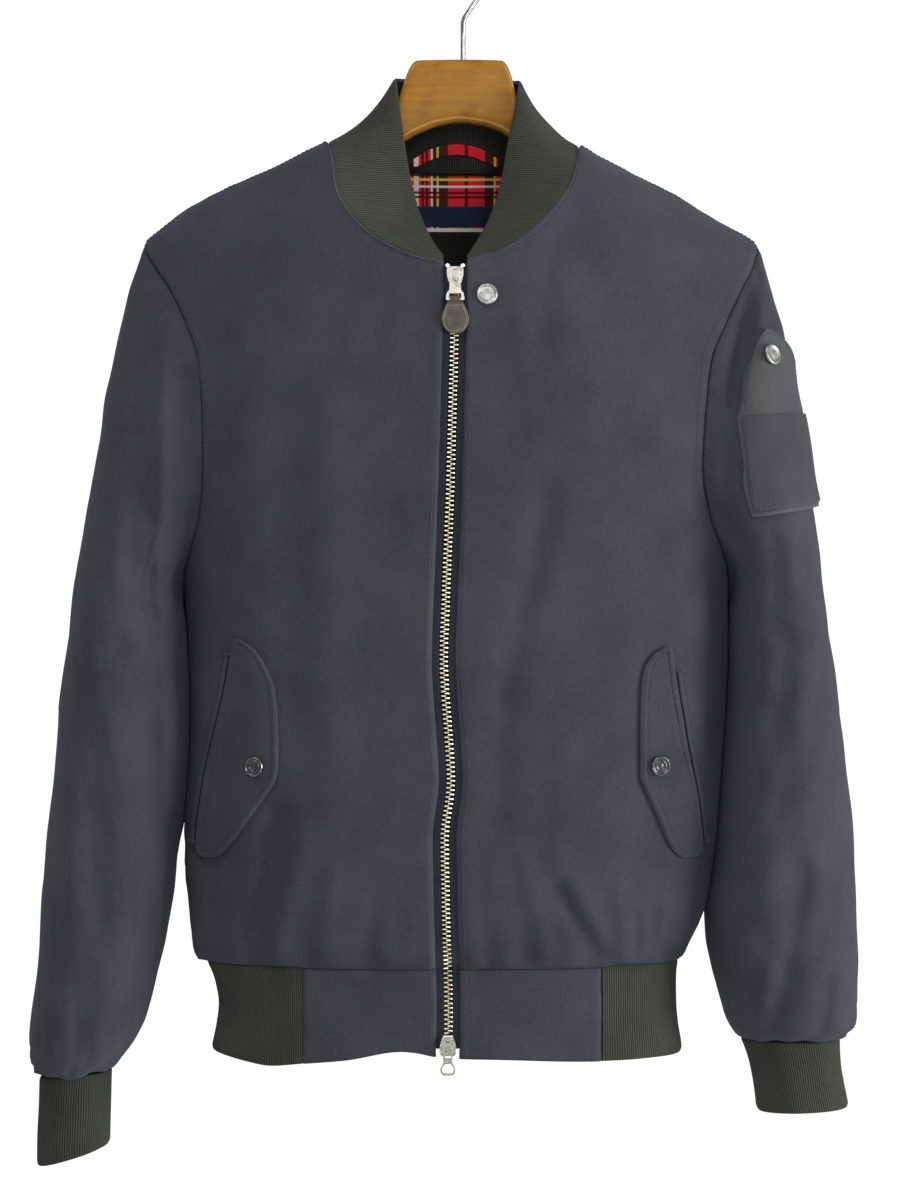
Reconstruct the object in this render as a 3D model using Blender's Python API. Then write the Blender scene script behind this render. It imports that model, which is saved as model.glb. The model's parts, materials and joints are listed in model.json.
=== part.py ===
"""Wool bomber jacket with rib-knit trim, hanging closed on a wooden hanger.

Tables hold millimetres; the meshes are in metres, +Z up, front facing -Y.
The origin is the inside of the hook's crown, where a rail would carry it.
"""
import math

import bmesh
import bpy
from mathutils import Matrix, Vector
from mathutils.bvhtree import BVHTree

MM = 0.001

# ---------------------------------------------------------------- driving sizes (mm)
CLOTH = 2.0             # wool shell with its lining
RIB = 2.6               # rib knit of cuffs and hem
COLLAR_RIB = 3.2        # doubled rib of the collar
SEAM = 0.35             # gap that parts two pieces at a seam
LIFT = 0.8              # air under a piece that lies on a panel
SQUARENESS = 2.5        # body section: 2 is an ellipse, more is boxier
SLEEVE_SQUARENESS = 2.3
SHOULDER_ROLL = 190.0   # drop below the shoulder line over which the cloth reaches full depth
HEM_SEAM = -716.0       # height where the body meets the rib hem
ARMPIT = -461.0
TIP = -218.0            # height of the shoulder points
SLEEVE_LEVEL = -540.0   # from here down the sleeve rings lie level
ARMHOLE_MIDDLE = -335.0
UNDERARM_EASE = 1.5     # the sleeve stands off the side of the body under the arm
PLACKET = 8.0           # front edge to the middle of the zip
CHAIN_HALF = 3.1
TAPE_HALF = 11.0
HEM_FRONT_LEFT = -110.0     # seams between cloth front hem and rib
HEM_FRONT_RIGHT = 95.0
HOOK_RADIUS = 20.0      # inside radius of the hook
HOOK_WIRE = 3.5
STEM_BEND = -59.0       # where the straight stem leans over to the hook
BLOCK_TOP = -87.0       # top of the wooden block
STEM_IN = 11.0          # length of the stem inside the block
STEM_BORE = 12.0        # depth of the hole that takes it
HANGER_GAP = 0.7        # under the lined cloth of the shoulders
HOOK_END = 200.0        # angle at which the wire stops, in degrees
STEM_BACK = 2.5         # the stem stands in the middle of the block, behind the rail's line


def table(columns, *rows):
    """Rows of numbers under named columns."""
    names = columns.split()
    return [dict(zip(names, row)) for row in rows]


# Body outline and depth.  left and right are the side edges seen from the front.
BODY = table(
    "height  left    right  front back",
    (-795, -178.0, 152.0, 72, 70),
    (-778, -176.0, 152.5, 74, 72),
    (-759, -172.5, 150.2, 72, 70),
    (-745, -170.8, 149.1, 71, 69),
    (-731, -172.9, 148.8, 70, 68),
    (-722, -176.0, 149.0, 70, 68),
    (-716, -179.5, 150.5, 71, 69),
    (-711, -184.5, 153.0, 75, 73),
    (-703, -188.5, 157.5, 79, 77),
    (-690, -190.5, 165.5, 82, 80),
    (-675, -191.5, 170.5, 84, 82),
    (-647, -194.6, 175.0, 85, 83),
    (-618, -194.8, 178.3, 86, 84),
    (-581, -192.0, 180.5, 87, 85),
    (-537, -190.5, 184.0, 88, 86),
    (-500, -192.0, 185.2, 89, 87),
    (-461, -194.6, 184.8, 90, 88),
    (-430, -197.0, 187.5, 90, 88),
    (-380, -203.0, 192.5, 90, 88),
    (-300, -214.0, 203.0, 88, 86),
    (-216, -228.0, 216.0, 84, 80),
    (-110, -232.0, 220.0, 78, 72),
)

# Shoulder line, seen from the front.  Inside the neck it goes on as an unseen arch.
SHOULDER = table(
    "x       height",
    (-229.0, -226.0),
    (-222.6, -217.0),
    (-212.0, -206.5),
    (-191.0, -191.0),
    (-160.0, -175.5),
    (-128.0, -161.0),
    (-94.5, -145.0),
    (-60.0, -127.0),
    (-5.0, -116.0),
    (48.0, -127.0),
    (81.0, -148.0),
    (106.0, -160.5),
    (148.0, -182.5),
    (190.0, -206.5),
    (201.0, -213.5),
    (207.0, -219.0),
    (214.0, -234.0),
)

# Armhole seam, seen from the front; the back seam lies a little further out.
ARMHOLE = table(
    "height left    right  back_out",
    (-461, -194.6, 184.8, 0.0),
    (-447, -193.6, 183.8, 0.5),
    (-430, -188.5, 178.5, 2.0),
    (-410, -182.0, 170.0, 4.0),
    (-375, -178.5, 164.0, 7.0),
    (-338, -179.0, 166.0, 8.0),
    (-299, -182.5, 171.0, 8.0),
    (-275, -191.0, 181.0, 6.0),
    (-250, -203.5, 193.0, 3.0),
    (-232, -216.0, 202.5, 1.0),
    (-218, -223.0, 206.0, 0.0),
    (-110, -223.0, 206.0, 0.0),
)

# Neck seam from the zip (0) to the neck point (1), and the collar's free edge above it.
NECK = {
    "left": table(
        "along  x      height  top_x  top_y  top_height",
        (0.00, -13.5, -234.5, -13.8, -63.0, -229.0),
        (0.12, -30.5, -231.0, -22.0, -56.0, -217.0),
        (0.25, -46.7, -224.3, -29.5, -44.0, -199.0),
        (0.40, -63.3, -213.7, -35.5, -31.0, -175.0),
        (0.53, -75.3, -201.6, -39.5, -23.0, -153.0),
        (0.72, -86.9, -181.0, -43.0, -14.5, -128.0),
        (0.90, -90.8, -156.0, -46.0, -7.5, -107.5),
        (1.00, -94.5, -145.0, -47.5, -1.0, -99.5),
    ),
    "right": table(
        "along  x      height  top_x  top_y  top_height",
        (0.00, 2.5, -234.0, 2.8, -63.0, -229.5),
        (0.12, 14.0, -230.5, 9.5, -56.0, -218.0),
        (0.25, 26.4, -225.2, 17.0, -46.0, -203.5),
        (0.43, 45.8, -212.5, 24.5, -32.0, -180.0),
        (0.57, 61.2, -196.5, 28.5, -24.0, -158.0),
        (0.70, 71.5, -181.3, 32.5, -17.5, -138.0),
        (0.86, 77.8, -163.4, 37.5, -10.0, -114.0),
        (1.00, 81.0, -148.0, 40.0, -1.0, -101.0),
    ),
}
BACK_NECK_DIP = 4.0
COLLAR_BACK_REACH = 35.0    # how far the collar's free edge goes back
COLLAR_BACK_RISE = 4.0
COLLAR_HOLLOW = 6.0         # sag of the collar between its seam and its edge

# The zip wanders down the front.
ZIP = table(
    "height  x",
    (-795, -11.5),
    (-748, -10.2),
    (-667, -12.1),
    (-627, -12.8),
    (-586, -8.6),
    (-559, -10.1),
    (-505, -13.4),
    (-465, -12.1),
    (-398, -9.4),
    (-330, -7.4),
    (-256, -5.7),
    (-220, -5.5),
)

# Sleeve sections: inner and outer edge seen from the front, reach to front and back.
# slant is how much a level ring drops toward its outer edge, per millimetre of width.
SLEEVE = {
    "left": table(
        "height  inner  outer   front back slant",
        (-861.0, -247.5, -298.0, 36, 38, 0.30),
        (-838.0, -247.2, -297.5, 36, 38, 0.24),
        (-815.0, -246.5, -296.5, 35, 37, 0.14),
        (-796.0, -246.0, -295.6, 35, 37, 0.08),
        (-794.5, -245.7, -295.5, 36, 38, 0.08),
        (-791.0, -242.5, -298.0, 44, 46, 0.07),
        (-785.0, -238.0, -300.6, 51, 53, 0.05),
        (-773.0, -229.5, -301.6, 59, 61, 0.03),
        (-759.0, -223.0, -301.0, 64, 66, 0.00),
        (-731.0, -215.6, -299.0, 69, 71, 0.00),
        (-703.0, -208.5, -296.0, 71, 74, 0.00),
        (-675.0, -204.0, -293.5, 72, 76, 0.00),
        (-647.0, -200.5, -291.0, 73, 78, 0.00),
        (-618.0, -197.6, -288.6, 74, 79, 0.00),
        (-581.0, -194.6, -285.3, 75, 80, 0.00),
        (-537.0, -192.6, -280.5, 76, 81, 0.00),
        (-500.0, -194.4, -276.0, 76, 81, 0.00),
        (-480.0, -195.6, -273.6, 76, 81, 0.00),
        (-461.0, -197.2, -271.2, 75, 80, 0.00),
        (-430.0, -184.0, -266.0, 74, 78, 0.00),
        (-380.0, -150.0, -258.0, 71, 75, 0.00),
        (-325.0, -138.0, -249.2, 65, 69, 0.00),
        (-283.0, -142.0, -240.8, 55, 57, 0.00),
        (-255.0, -150.0, -233.8, 43, 44, 0.00),
        (-232.0, -160.0, -227.2, 24, 24, 0.00),
        (-218.0, -166.0, -223.4, 3, 3, 0.00),
    ),
    "right": table(
        "height  inner  outer  front back slant",
        (-835.0, 206.5, 271.5, 36, 38, -0.08),
        (-819.0, 205.5, 269.5, 36, 38, -0.05),
        (-803.0, 203.5, 266.5, 36, 38, -0.02),
        (-787.0, 200.2, 264.0, 36, 38, 0.00),
        (-774.0, 195.5, 263.3, 36, 38, 0.00),
        (-770.5, 194.0, 263.6, 37, 39, 0.00),
        (-767.0, 190.5, 268.0, 45, 47, 0.00),
        (-759.0, 185.0, 272.8, 54, 56, 0.00),
        (-745.0, 180.6, 275.3, 63, 65, 0.00),
        (-717.0, 173.4, 276.4, 69, 71, 0.00),
        (-703.0, 171.6, 275.8, 71, 74, 0.00),
        (-675.0, 172.2, 274.4, 72, 76, 0.00),
        (-647.0, 176.6, 272.8, 73, 78, 0.00),
        (-618.0, 179.9, 271.2, 74, 79, 0.00),
        (-581.0, 182.2, 267.0, 75, 80, 0.00),
        (-537.0, 185.8, 261.3, 76, 81, 0.00),
        (-500.0, 187.4, 256.2, 76, 81, 0.00),
        (-480.0, 187.6, 253.6, 76, 81, 0.00),
        (-461.0, 187.8, 251.0, 75, 80, 0.00),
        (-430.0, 175.0, 247.2, 74, 78, 0.00),
        (-380.0, 140.0, 239.6, 71, 75, 0.00),
        (-325.0, 126.0, 230.6, 65, 69, 0.00),
        (-283.0, 128.0, 223.3, 55, 57, 0.00),
        (-255.0, 134.0, 217.7, 43, 44, 0.00),
        (-232.0, 146.0, 211.2, 24, 24, 0.00),
        (-218.0, 152.0, 206.4, 3, 3, 0.00),
    ),
}
CUFF_SEAM = {"left": -794.5, "right": -770.5}
CUFF_END = {"left": -852.0, "right": -819.5}

# Creases: from (x1, height1) to (x2, height2), seen from the front.
# depth is outward, so a trough is negative; width is the half-width of the crease.
CREASES = {
    "front": table(
        "x1      height1 x2      height2 depth width",
        (-126.0, -612.0, -145.0, -700.0, -6.0, 9.0),
        (-108.0, -622.0, -128.0, -700.0, 2.5, 9.0),
        (-81.0, -704.0, -104.0, -712.0, -2.5, 6.0),
        (63.0, -660.0, 90.0, -705.0, -4.5, 7.0),
        (76.0, -662.0, 100.0, -708.0, 3.0, 8.0),
        (117.0, -683.0, 117.0, -705.0, -2.5, 5.0),
        (129.5, -677.0, 129.0, -702.0, -2.5, 5.0),
        (60.0, -225.0, 52.0, -290.0, -2.0, 10.0),
        (56.0, -394.0, 27.0, -530.0, -4.0, 11.0),
        (27.0, -530.0, 22.0, -610.0, -3.0, 11.0),
        (-120.0, -330.0, -114.0, -560.0, -2.5, 15.0),
        (-92.0, -340.0, -90.0, -620.0, 2.0, 15.0),
        (132.0, -420.0, 124.0, -620.0, -2.5, 14.0),
        (-189.0, -235.0, -166.0, -340.0, -3.0, 12.0),
        (168.0, -235.0, 148.0, -345.0, -2.5, 14.0),
    ),
    "back": table(
        "x1      height1 x2      height2 depth width",
        (-118.0, -330.0, -100.0, -600.0, -5.0, 18.0),
        (112.0, -330.0, 92.0, -580.0, -4.5, 18.0),
        (-60.0, -400.0, -52.0, -690.0, 3.0, 20.0),
        (30.0, -430.0, 40.0, -700.0, -3.0, 18.0),
        (-140.0, -610.0, -110.0, -706.0, -4.5, 9.0),
        (128.0, -620.0, 98.0, -706.0, -4.5, 9.0),
        (-30.0, -670.0, -36.0, -708.0, -2.5, 7.0),
        (60.0, -665.0, 66.0, -708.0, -2.5, 7.0),
    ),
    "sleeve": table(
        "x1      height1 x2      height2 depth width",
        (-212.0, -262.0, -212.0, -410.0, -4.5, 10.0),
        (-226.0, -300.0, -222.0, -420.0, 2.0, 9.0),
        (-212.0, -480.0, -216.0, -610.0, -5.0, 13.0),
        (-262.0, -560.0, -255.0, -700.0, -2.5, 14.0),
        (-237.0, -748.0, -239.0, -782.0, -4.0, 6.0),
        (-262.0, -752.0, -266.0, -786.0, -2.5, 6.0),
        (213.5, -756.0, 232.0, -650.0, -5.0, 9.0),
        (246.0, -757.0, 250.0, -725.0, -3.0, 6.0),
        (190.5, -300.0, 204.0, -240.0, -4.0, 9.0),
        (214.0, -470.0, 210.0, -600.0, -4.0, 13.0),
    ),
}

# Pocket flaps: side edges at each height, from the pointed top to the round foot.
FLAPS = {
    "left": table(
        "height inner  outer",
        (-491.5, -155.5, -151.5),
        (-495.0, -156.5, -146.0),
        (-501.0, -157.8, -139.0),
        (-512.0, -159.8, -132.5),
        (-527.0, -162.5, -127.2),
        (-546.0, -167.0, -125.4),
        (-564.0, -171.5, -125.0),
        (-580.0, -175.6, -125.0),
        (-587.0, -177.0, -126.6),
        (-601.0, -179.2, -135.8),
        (-613.0, -181.0, -144.2),
        (-625.0, -182.4, -152.5),
        (-634.0, -182.8, -160.0),
        (-639.5, -181.5, -165.5),
        (-641.5, -177.5, -170.5),
    ),
    "right": table(
        "height inner  outer",
        (-496.5, 137.5, 141.2),
        (-502.0, 128.5, 142.2),
        (-512.0, 121.8, 143.6),
        (-527.0, 119.7, 145.8),
        (-545.0, 119.1, 148.8),
        (-565.0, 119.0, 152.2),
        (-586.0, 119.3, 156.8),
        (-592.0, 121.7, 158.2),
        (-603.0, 127.0, 160.2),
        (-614.0, 132.0, 161.8),
        (-625.0, 136.3, 163.2),
        (-633.0, 140.2, 164.0),
        (-638.5, 144.5, 162.8),
        (-641.0, 149.0, 158.8),
    ),
}
BUTTONS = {"left": (-141.7, -578.2), "right": (133.6, -577.6)}
BUTTON_RADIUS = 6.7

# Sleeve tab: its two side edges, as height and turn round the sleeve (degrees, 0 outermost).
TAB = table(
    "inner_height inner_turn outer_height outer_turn",
    (-279.0, -52.0, -279.5, -44.0),
    (-289.0, -66.0, -288.0, -30.0),
    (-305.0, -82.0, -301.0, -6.0),
    (-318.0, -83.0, -316.0, -2.0),
    (-342.0, -85.0, -338.0, 0.0),
    (-372.0, -88.0, -366.0, 0.0),
    (-409.0, -96.0, -399.0, 2.0),
)
TAB_LABEL_SPAN = (0.65, 0.985)      # part of the tab's length under the sewn label

NECK_STEPS = (0.0, 0.08, 0.17, 0.27, 0.38, 0.50, 0.62, 0.74, 0.87, 1.0)
SHOULDER_STEPS = 6
BACK_NECK_STEPS = 14

# the hem's lower edge
HEM_END = {
    "front": table(
        "x       height",
        (-178.0, -777.0),
        (-150.0, -781.5),
        (-134.0, -783.5),
        (-110.0, -781.0),
        (-80.0, -778.0),
        (-42.0, -771.8),
        (-32.0, -772.6),
        (-20.0, -775.0),
        (-2.0, -776.5),
        (25.0, -777.2),
        (95.0, -779.5),
        (150.0, -779.0),
    ),
    "back": table(
        "x       height",
        (-178.0, -777.0),
        (-80.0, -781.0),
        (0.0, -779.0),
        (90.0, -781.0),
        (150.0, -779.0),
    ),
}

# pieces that lie on the cloth
FLAP_THICK = 2.0
WELT_THICK = 1.2
WELT_WIDTH = 3.6
WELT_GAP = 0.6          # between a flap's slanted edge and its welt
TAB_THICK = 1.6
TAB_LIFT = 1.0
TAB_STAND = 3.0         # how far the tab's rear corner stands off the sleeve
TAB_STEPS = (0.0, 0.08, 0.167, 0.25, 0.333, 0.45, 0.58, 0.70, 0.80, 0.90, 1.0)
TAB_OUTWARD = (0.6, -0.8, 0.0)
LABEL_THICK = 1.0
LABEL_GAP = 0.5
LABEL_SIDES = (0.03, 0.96)          # part of the tab's width under its label

# turned pieces: radius, depth
BUTTON_PROFILE = (
    (4.2, -2.2),
    (4.9, -3.0),
    (6.1, -3.0),
    (6.7, -2.3),
    (6.7, -1.2),
    (5.6, 0.0),
)
SNAP_PROFILE = (
    (4.6, -2.3),
    (6.4, -2.5),
    (7.2, -1.9),
    (7.4, -0.9),
    (7.0, 0.0),
)
SNAP_RADIUS = 7.0
NECK_SNAP = (15.9, -258.5)
SLEEVE_SNAP = (0.265, 0.36)     # along and across the sleeve tab
SLEEVE_SNAP_GAP = 0.75

# what shows inside the neck: left, right, low and high edges
YOKE_PLACE = (-58.0, 46.0, -246.0, -156.0)
NECK_LABEL_PLACE = (-42.0, 30.0, -197.2, -183.5)
LOWER_LABEL_PLACE = (-30.0, 15.0, -236.0, -201.0)
INSIDE_THICK = 1.0
INSIDE_GAP = 0.5
LOOP_MIDDLE = -5.0
LOOP_HALF = 30.0
LOOP_FOOT = -155.5
LOOP_RISE = 10.0
LOOP_HALF_WIDTH = 3.5
LOOP_THICK = 1.2
LOOP_GAP = 2.0


# the zip
TOP_SLIDER = -246.0
BOTTOM_SLIDER = -768.0
SLIDER_LENGTH = 13.0
TAPE_THICK = 0.9
TAPE_DEPTH = CLOTH + 0.8        # the tape lies behind the fronts
TAPE_TOP = -236.5
TAPE_LOW = -769.5
CHAIN_GAP = 0.5                 # between the teeth and the woven tape
CHAIN_INSET = 0.5
CHAIN_THICK = 3.4
HINGE_OUT = 2.9                 # pull's axis in front of the slider's middle plane
HINGE_DOWN = 1.4
# half width of a slider's plates up its length
SLIDER_ROWS = table(
    "height half",
    (-6.5, 3.4),
    (-3.5, 4.6),
    (0.5, 5.5),
    (4.5, 5.7),
    (6.5, 4.4),
)
SLIDER_CORE = 2.2
SLIDER_FRONT = (-1.6, 0.3)      # depth of the front plate
SLIDER_REAR = (4.4, 5.6)
REAR_NARROWER = 0.4
# side view of the arch that a pull hangs from, outside first and then inside: height, depth
BAIL_PROFILE = (
    (-3.7, -1.2), (-3.7, -4.2), (-2.7, -5.2), (2.7, -5.2), (3.7, -4.2), (3.7, -1.2),
    (2.7, -1.2), (2.7, -3.8), (2.3, -4.2), (-2.3, -4.2), (-2.7, -3.8), (-2.7, -1.2),
)
BAIL_HALF = 1.3
PULL_HALF_THICK = 0.65

# plates that hang from a hinge: height, half width, half opening
TOP_PULL_ROWS = (
    (0.65, 3.4, 2.1),
    (-0.65, 3.6, 2.1),
    (-4.6, 3.6, 2.1),
    (-5.8, 3.7, 1.2),
    (-9.4, 4.1, 1.2),
    (-11.6, 5.7, 4.1),
    (-15.0, 6.3, 4.1),
    (-16.4, 6.0, 4.0),
)
TOP_PULL_OPENINGS = (1, 5)
TAG_HINGE = -15.7
BOTTOM_PULL_ROWS = (
    (0.65, 3.2, 2.1),
    (-0.65, 3.4, 2.1),
    (-6.4, 3.2, 2.0),
    (-7.6, 3.0, 1.4),
    (-10.4, 3.4, 2.0),
    (-13.6, 5.2, 4.1),
    (-16.6, 4.7, 3.4),
    (-18.2, 2.9, 1.5),
)
BOTTOM_PULL_OPENINGS = (1, 4, 5)

TAG_HALF_THICK = 1.2
TAG_LOOP = {"outer": 2.3, "inner": 1.3, "half": 3.5}
TAG_ROWS = (
    # height under the bar, half width
    (-3.0, 5.8),
    (-6.6, 7.4),
    (-10.0, 8.7),
    (-13.4, 9.2),
    (-17.6, 8.3),
    (-20.8, 6.0),
    (-23.0, 2.8),
)

STOP_PROFILE = ((1.3, -1.4), (1.6, -0.9), (1.6, 0.0))
STOP_OUT = 5.2          # from the middle of the zip
STOP_DOWN = 1.6         # below the tape's top
STOP_GAP = 0.3          # between a slider and the teeth
STOP_FRONT = 0.9        # a stop stands this far in front of the tape

# Wooden hanger, seen from the front; under the shoulders its top follows the cloth.
WOOD = table(
    "x       top     bottom  half_depth y    corner",
    (-197.0, -203.0, -220.0, 4.0, 0.0, 1.0),
    (-192.0, -196.0, -224.0, 7.5, 0.0, 1.0),
    (-170.0, -165.0, -212.0, 10.0, 0.0, 1.0),
    (-130.0, -140.0, -187.0, 11.0, 0.0, 1.0),
    (-97.0, -135.0, -168.0, 9.0, 0.0, 1.0),
    (-88.0, -150.5, -164.0, 9.0, 0.5, 1.0),
    (-72.0, -139.5, -158.0, 8.0, 1.5, 0.8),
    (-55.0, -127.0, -150.5, 7.0, 2.5, 0.7),
    (-44.5, -112.0, -145.5, 6.5, 2.5, 0.6),
    (-40.0, -98.5, -143.0, 6.5, 2.5, 0.6),
    (-36.5, -91.0, -141.0, 6.5, 2.5, 0.6),
    (-32.5, -87.3, -139.0, 6.5, 2.5, 0.6),
    (-18.0, -86.8, -133.2, 6.5, 2.5, 0.6),
    (-3.0, -86.6, -130.8, 6.5, 2.5, 0.6),
    (12.0, -86.8, -132.6, 6.5, 2.5, 0.6),
    (27.5, -87.3, -137.8, 6.5, 2.5, 0.6),
    (31.0, -91.0, -140.5, 6.2, 2.0, 0.6),
    (34.0, -98.5, -142.4, 5.6, 1.0, 0.7),
    (38.0, -114.0, -144.5, 5.6, 1.0, 0.7),
    (44.0, -125.0, -147.0, 6.0, 1.0, 0.7),
    (50.0, -131.5, -151.0, 7.0, 2.5, 0.7),
    (62.0, -144.0, -159.0, 8.0, 1.5, 0.8),
    (75.0, -153.5, -165.0, 9.0, 0.5, 1.0),
    (84.0, -140.0, -170.0, 9.0, 0.0, 1.0),
    (118.0, -150.0, -188.0, 11.0, 0.0, 1.0),
    (152.0, -170.0, -212.0, 10.0, 0.0, 1.0),
    (174.0, -201.5, -224.0, 7.5, 0.0, 1.0),
    (179.0, -208.5, -220.0, 4.0, 0.0, 1.0),
)

# colour, roughness and metallic value of each material
FINISHES = {
    "wool": ((0.035, 0.042, 0.060), 0.90, 0.0),
    "rib": ((0.020, 0.024, 0.022), 0.95, 0.0),
    "tartan": ((0.42, 0.03, 0.03), 0.85, 0.0),
    "nylon": ((0.020, 0.022, 0.026), 0.55, 0.0),
    "satin": ((0.045, 0.048, 0.055), 0.40, 0.0),
    "navy_satin": ((0.020, 0.030, 0.070), 0.40, 0.0),
    "tape": ((0.020, 0.024, 0.035), 0.85, 0.0),
    "zip_metal": ((0.60, 0.58, 0.54), 0.30, 1.0),
    "snap_metal": ((0.32, 0.32, 0.33), 0.35, 1.0),
    "leather": ((0.045, 0.038, 0.028), 0.60, 0.0),
    "horn": ((0.020, 0.020, 0.022), 0.30, 0.0),
    "wood": ((0.36, 0.17, 0.06), 0.35, 0.0),
    "chrome": ((0.70, 0.70, 0.70), 0.15, 1.0),
}


def read(rows, along, column, at):
    """One column of a table at any place along it, by monotone cubic pieces."""
    knots = [row[along] for row in rows]
    values = [row[column] for row in rows]
    if at <= knots[0]:
        return values[0]
    if at >= knots[-1]:
        return values[-1]
    index = max(i for i in range(len(knots) - 1) if knots[i] <= at)
    slopes = [(values[i + 1] - values[i]) / (knots[i + 1] - knots[i]) for i in range(len(knots) - 1)]

    def tangent(i):
        if i == 0 or i == len(knots) - 1:
            return slopes[min(i, len(slopes) - 1)]
        before, after = slopes[i - 1], slopes[i]
        if before * after <= 0.0:
            return 0.0
        return 2.0 * before * after / (before + after)

    span = knots[index + 1] - knots[index]
    t = (at - knots[index]) / span
    start, end = values[index], values[index + 1]
    return (
        start * (2 * t ** 3 - 3 * t ** 2 + 1)
        + tangent(index) * span * (t ** 3 - 2 * t ** 2 + t)
        + end * (3 * t ** 2 - 2 * t ** 3)
        + tangent(index + 1) * span * (t ** 3 - t ** 2)
    )


def mix(start, end, t):
    return start + (end - start) * t


def smooth_step(t):
    t = min(max(t, 0.0), 1.0)
    return t * t * (3.0 - 2.0 * t)


def spread(low, high, steps):
    """Evenly spaced values with both ends."""
    return [mix(low, high, i / steps) for i in range(steps + 1)]


def signed_power(value, power):
    return math.copysign(abs(value) ** power, value)


def crease_lift(place, x, height):
    """Outward movement of the cloth by the creases of one place."""
    lift = 0.0
    for crease in CREASES[place]:
        run = (crease["x2"] - crease["x1"], crease["height2"] - crease["height1"])
        rise = (x - crease["x1"], height - crease["height1"])
        t = (rise[0] * run[0] + rise[1] * run[1]) / (run[0] ** 2 + run[1] ** 2)
        t_inside = min(max(t, 0.0), 1.0)
        off = math.hypot(rise[0] - t_inside * run[0], rise[1] - t_inside * run[1])
        if off < 3.0 * crease["width"]:
            lift += crease["depth"] * math.exp(-(off / crease["width"]) ** 2)
    return lift


# ---------------------------------------------------------------- shape of the body
def shoulder_height(x):
    return read(SHOULDER, "x", "height", x)


def body_width(height):
    left = read(BODY, "height", "left", height)
    right = read(BODY, "height", "right", height)
    return (left + right) / 2.0, (right - left) / 2.0


def body_turn(height, x):
    """Turn round the body's section, 0 in the middle and a right angle at the side."""
    centre, half = body_width(height)
    across = min(max((x - centre) / half, -1.0), 1.0)
    return math.asin(signed_power(across, SQUARENESS / 2.0))


def body_point(face, height, turn):
    centre, half = body_width(height)
    x = centre + half * signed_power(math.sin(turn), 2.0 / SQUARENESS)
    drop = min(max((shoulder_height(x) - height) / SHOULDER_ROLL, 0.0), 1.0)
    roll = math.sqrt(1.0 - (1.0 - drop) ** 2)
    flat = max(math.cos(turn), 0.0) ** (2.0 / SQUARENESS)
    depth = read(BODY, "height", face, height) * flat * roll
    fade = smooth_step((height - HEM_SEAM) / 12.0) * min(flat * roll * 1.6, 1.0)
    depth += crease_lift(face, x, height) * fade
    side = -1.0 if face == "front" else 1.0
    return Vector((x, side * (depth + SEAM / 2.0), height))


def body_at(face, x, height):
    return body_point(face, height, body_turn(height, x))


def side_x(face, hand, height):
    """Side seam below the armpit, armhole seam above it."""
    if height <= ARMPIT:
        return read(BODY, "height", hand, height)
    x = read(ARMHOLE, "height", hand, height)
    out = -1.0 if hand == "left" else 1.0
    if face == "back":
        x += out * read(ARMHOLE, "height", "back_out", height)
    return x


def placket_x(hand, height):
    out = -1.0 if hand == "left" else 1.0
    return read(ZIP, "height", "x", height) + out * PLACKET


ARMPIT_SHARE = (ARMPIT - HEM_SEAM) / (TIP - HEM_SEAM)
# rows of the body panels between the hem seam (0) and the top (1)
PANEL_ROWS = (
    [0.0, 0.013, 0.032, 0.06, 0.10, 0.155]
    + spread(0.22, ARMPIT_SHARE, 5)
    + [mix(ARMPIT_SHARE, 1.0, (1.0 - math.cos(math.pi * i / 11)) / 2.0) for i in range(1, 12)]
)


def neck_front(hand):
    """Points of the front neck seam, from the zip to the neck point."""
    rows = NECK[hand]
    places = [
        (read(rows, "along", "x", step), read(rows, "along", "height", step))
        for step in NECK_STEPS
    ]
    return places


def neck_back():
    """Points of the back neck seam, from the left neck point to the right one."""
    left, right = NECK["left"][-1], NECK["right"][-1]
    middle = (left["x"] + right["x"]) / 2.0
    half = (right["x"] - left["x"]) / 2.0
    places = []
    for angle in spread(-90.0, 90.0, BACK_NECK_STEPS):
        across = math.sin(math.radians(angle))
        x = middle + half * across
        height = mix(left["height"], right["height"], (across + 1.0) / 2.0)
        places.append((x, height - BACK_NECK_DIP * math.cos(math.radians(angle))))
    return places


def shoulder_places(hand):
    """Points of the shoulder seam from the neck point to the shoulder tip."""
    start = NECK[hand][-1]["x"]
    end = side_x("front", hand, TIP)
    places = []
    for x in spread(start, end, SHOULDER_STEPS):
        places.append((x, shoulder_height(x)))
    return places


def panel_grid(face, tops, inner_x, outer_x):
    """Grid of a body panel: rows upward, one column for each point along its top."""
    count = len(tops) - 1
    grid = []
    for share in PANEL_ROWS:
        row = []
        for index, (top_x, top_height) in enumerate(tops):
            height = mix(HEM_SEAM, top_height, share)
            low = body_turn(height, inner_x(height))
            high = body_turn(height, outer_x(height))
            top_low = body_turn(top_height, inner_x(top_height))
            top_high = body_turn(top_height, outer_x(top_height))
            top_share = (body_turn(top_height, top_x) - top_low) / (top_high - top_low)
            across = mix(index / count, top_share, share ** 1.5)
            row.append(body_point(face, height, mix(low, high, across)))
        grid.append(row)
    return grid


def front_grid(hand):
    tops = neck_front(hand) + shoulder_places(hand)[1:]
    return panel_grid(
        "front",
        tops,
        lambda height: placket_x(hand, height),
        lambda height: side_x("front", hand, height),
    )


def back_grid():
    left = list(reversed(shoulder_places("left")))
    right = shoulder_places("right")
    tops = left[:-1] + neck_back() + right[1:]
    return panel_grid(
        "back",
        tops,
        lambda height: side_x("back", "left", height),
        lambda height: side_x("back", "right", height),
    )


# ---------------------------------------------------------------- shape of the sleeves
def sleeve_ring(hand, height):
    rows = SLEEVE[hand]
    inner = read(rows, "height", "inner", height)
    outer = read(rows, "height", "outer", height)
    return (inner + outer) / 2.0, (outer - inner) / 2.0


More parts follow.
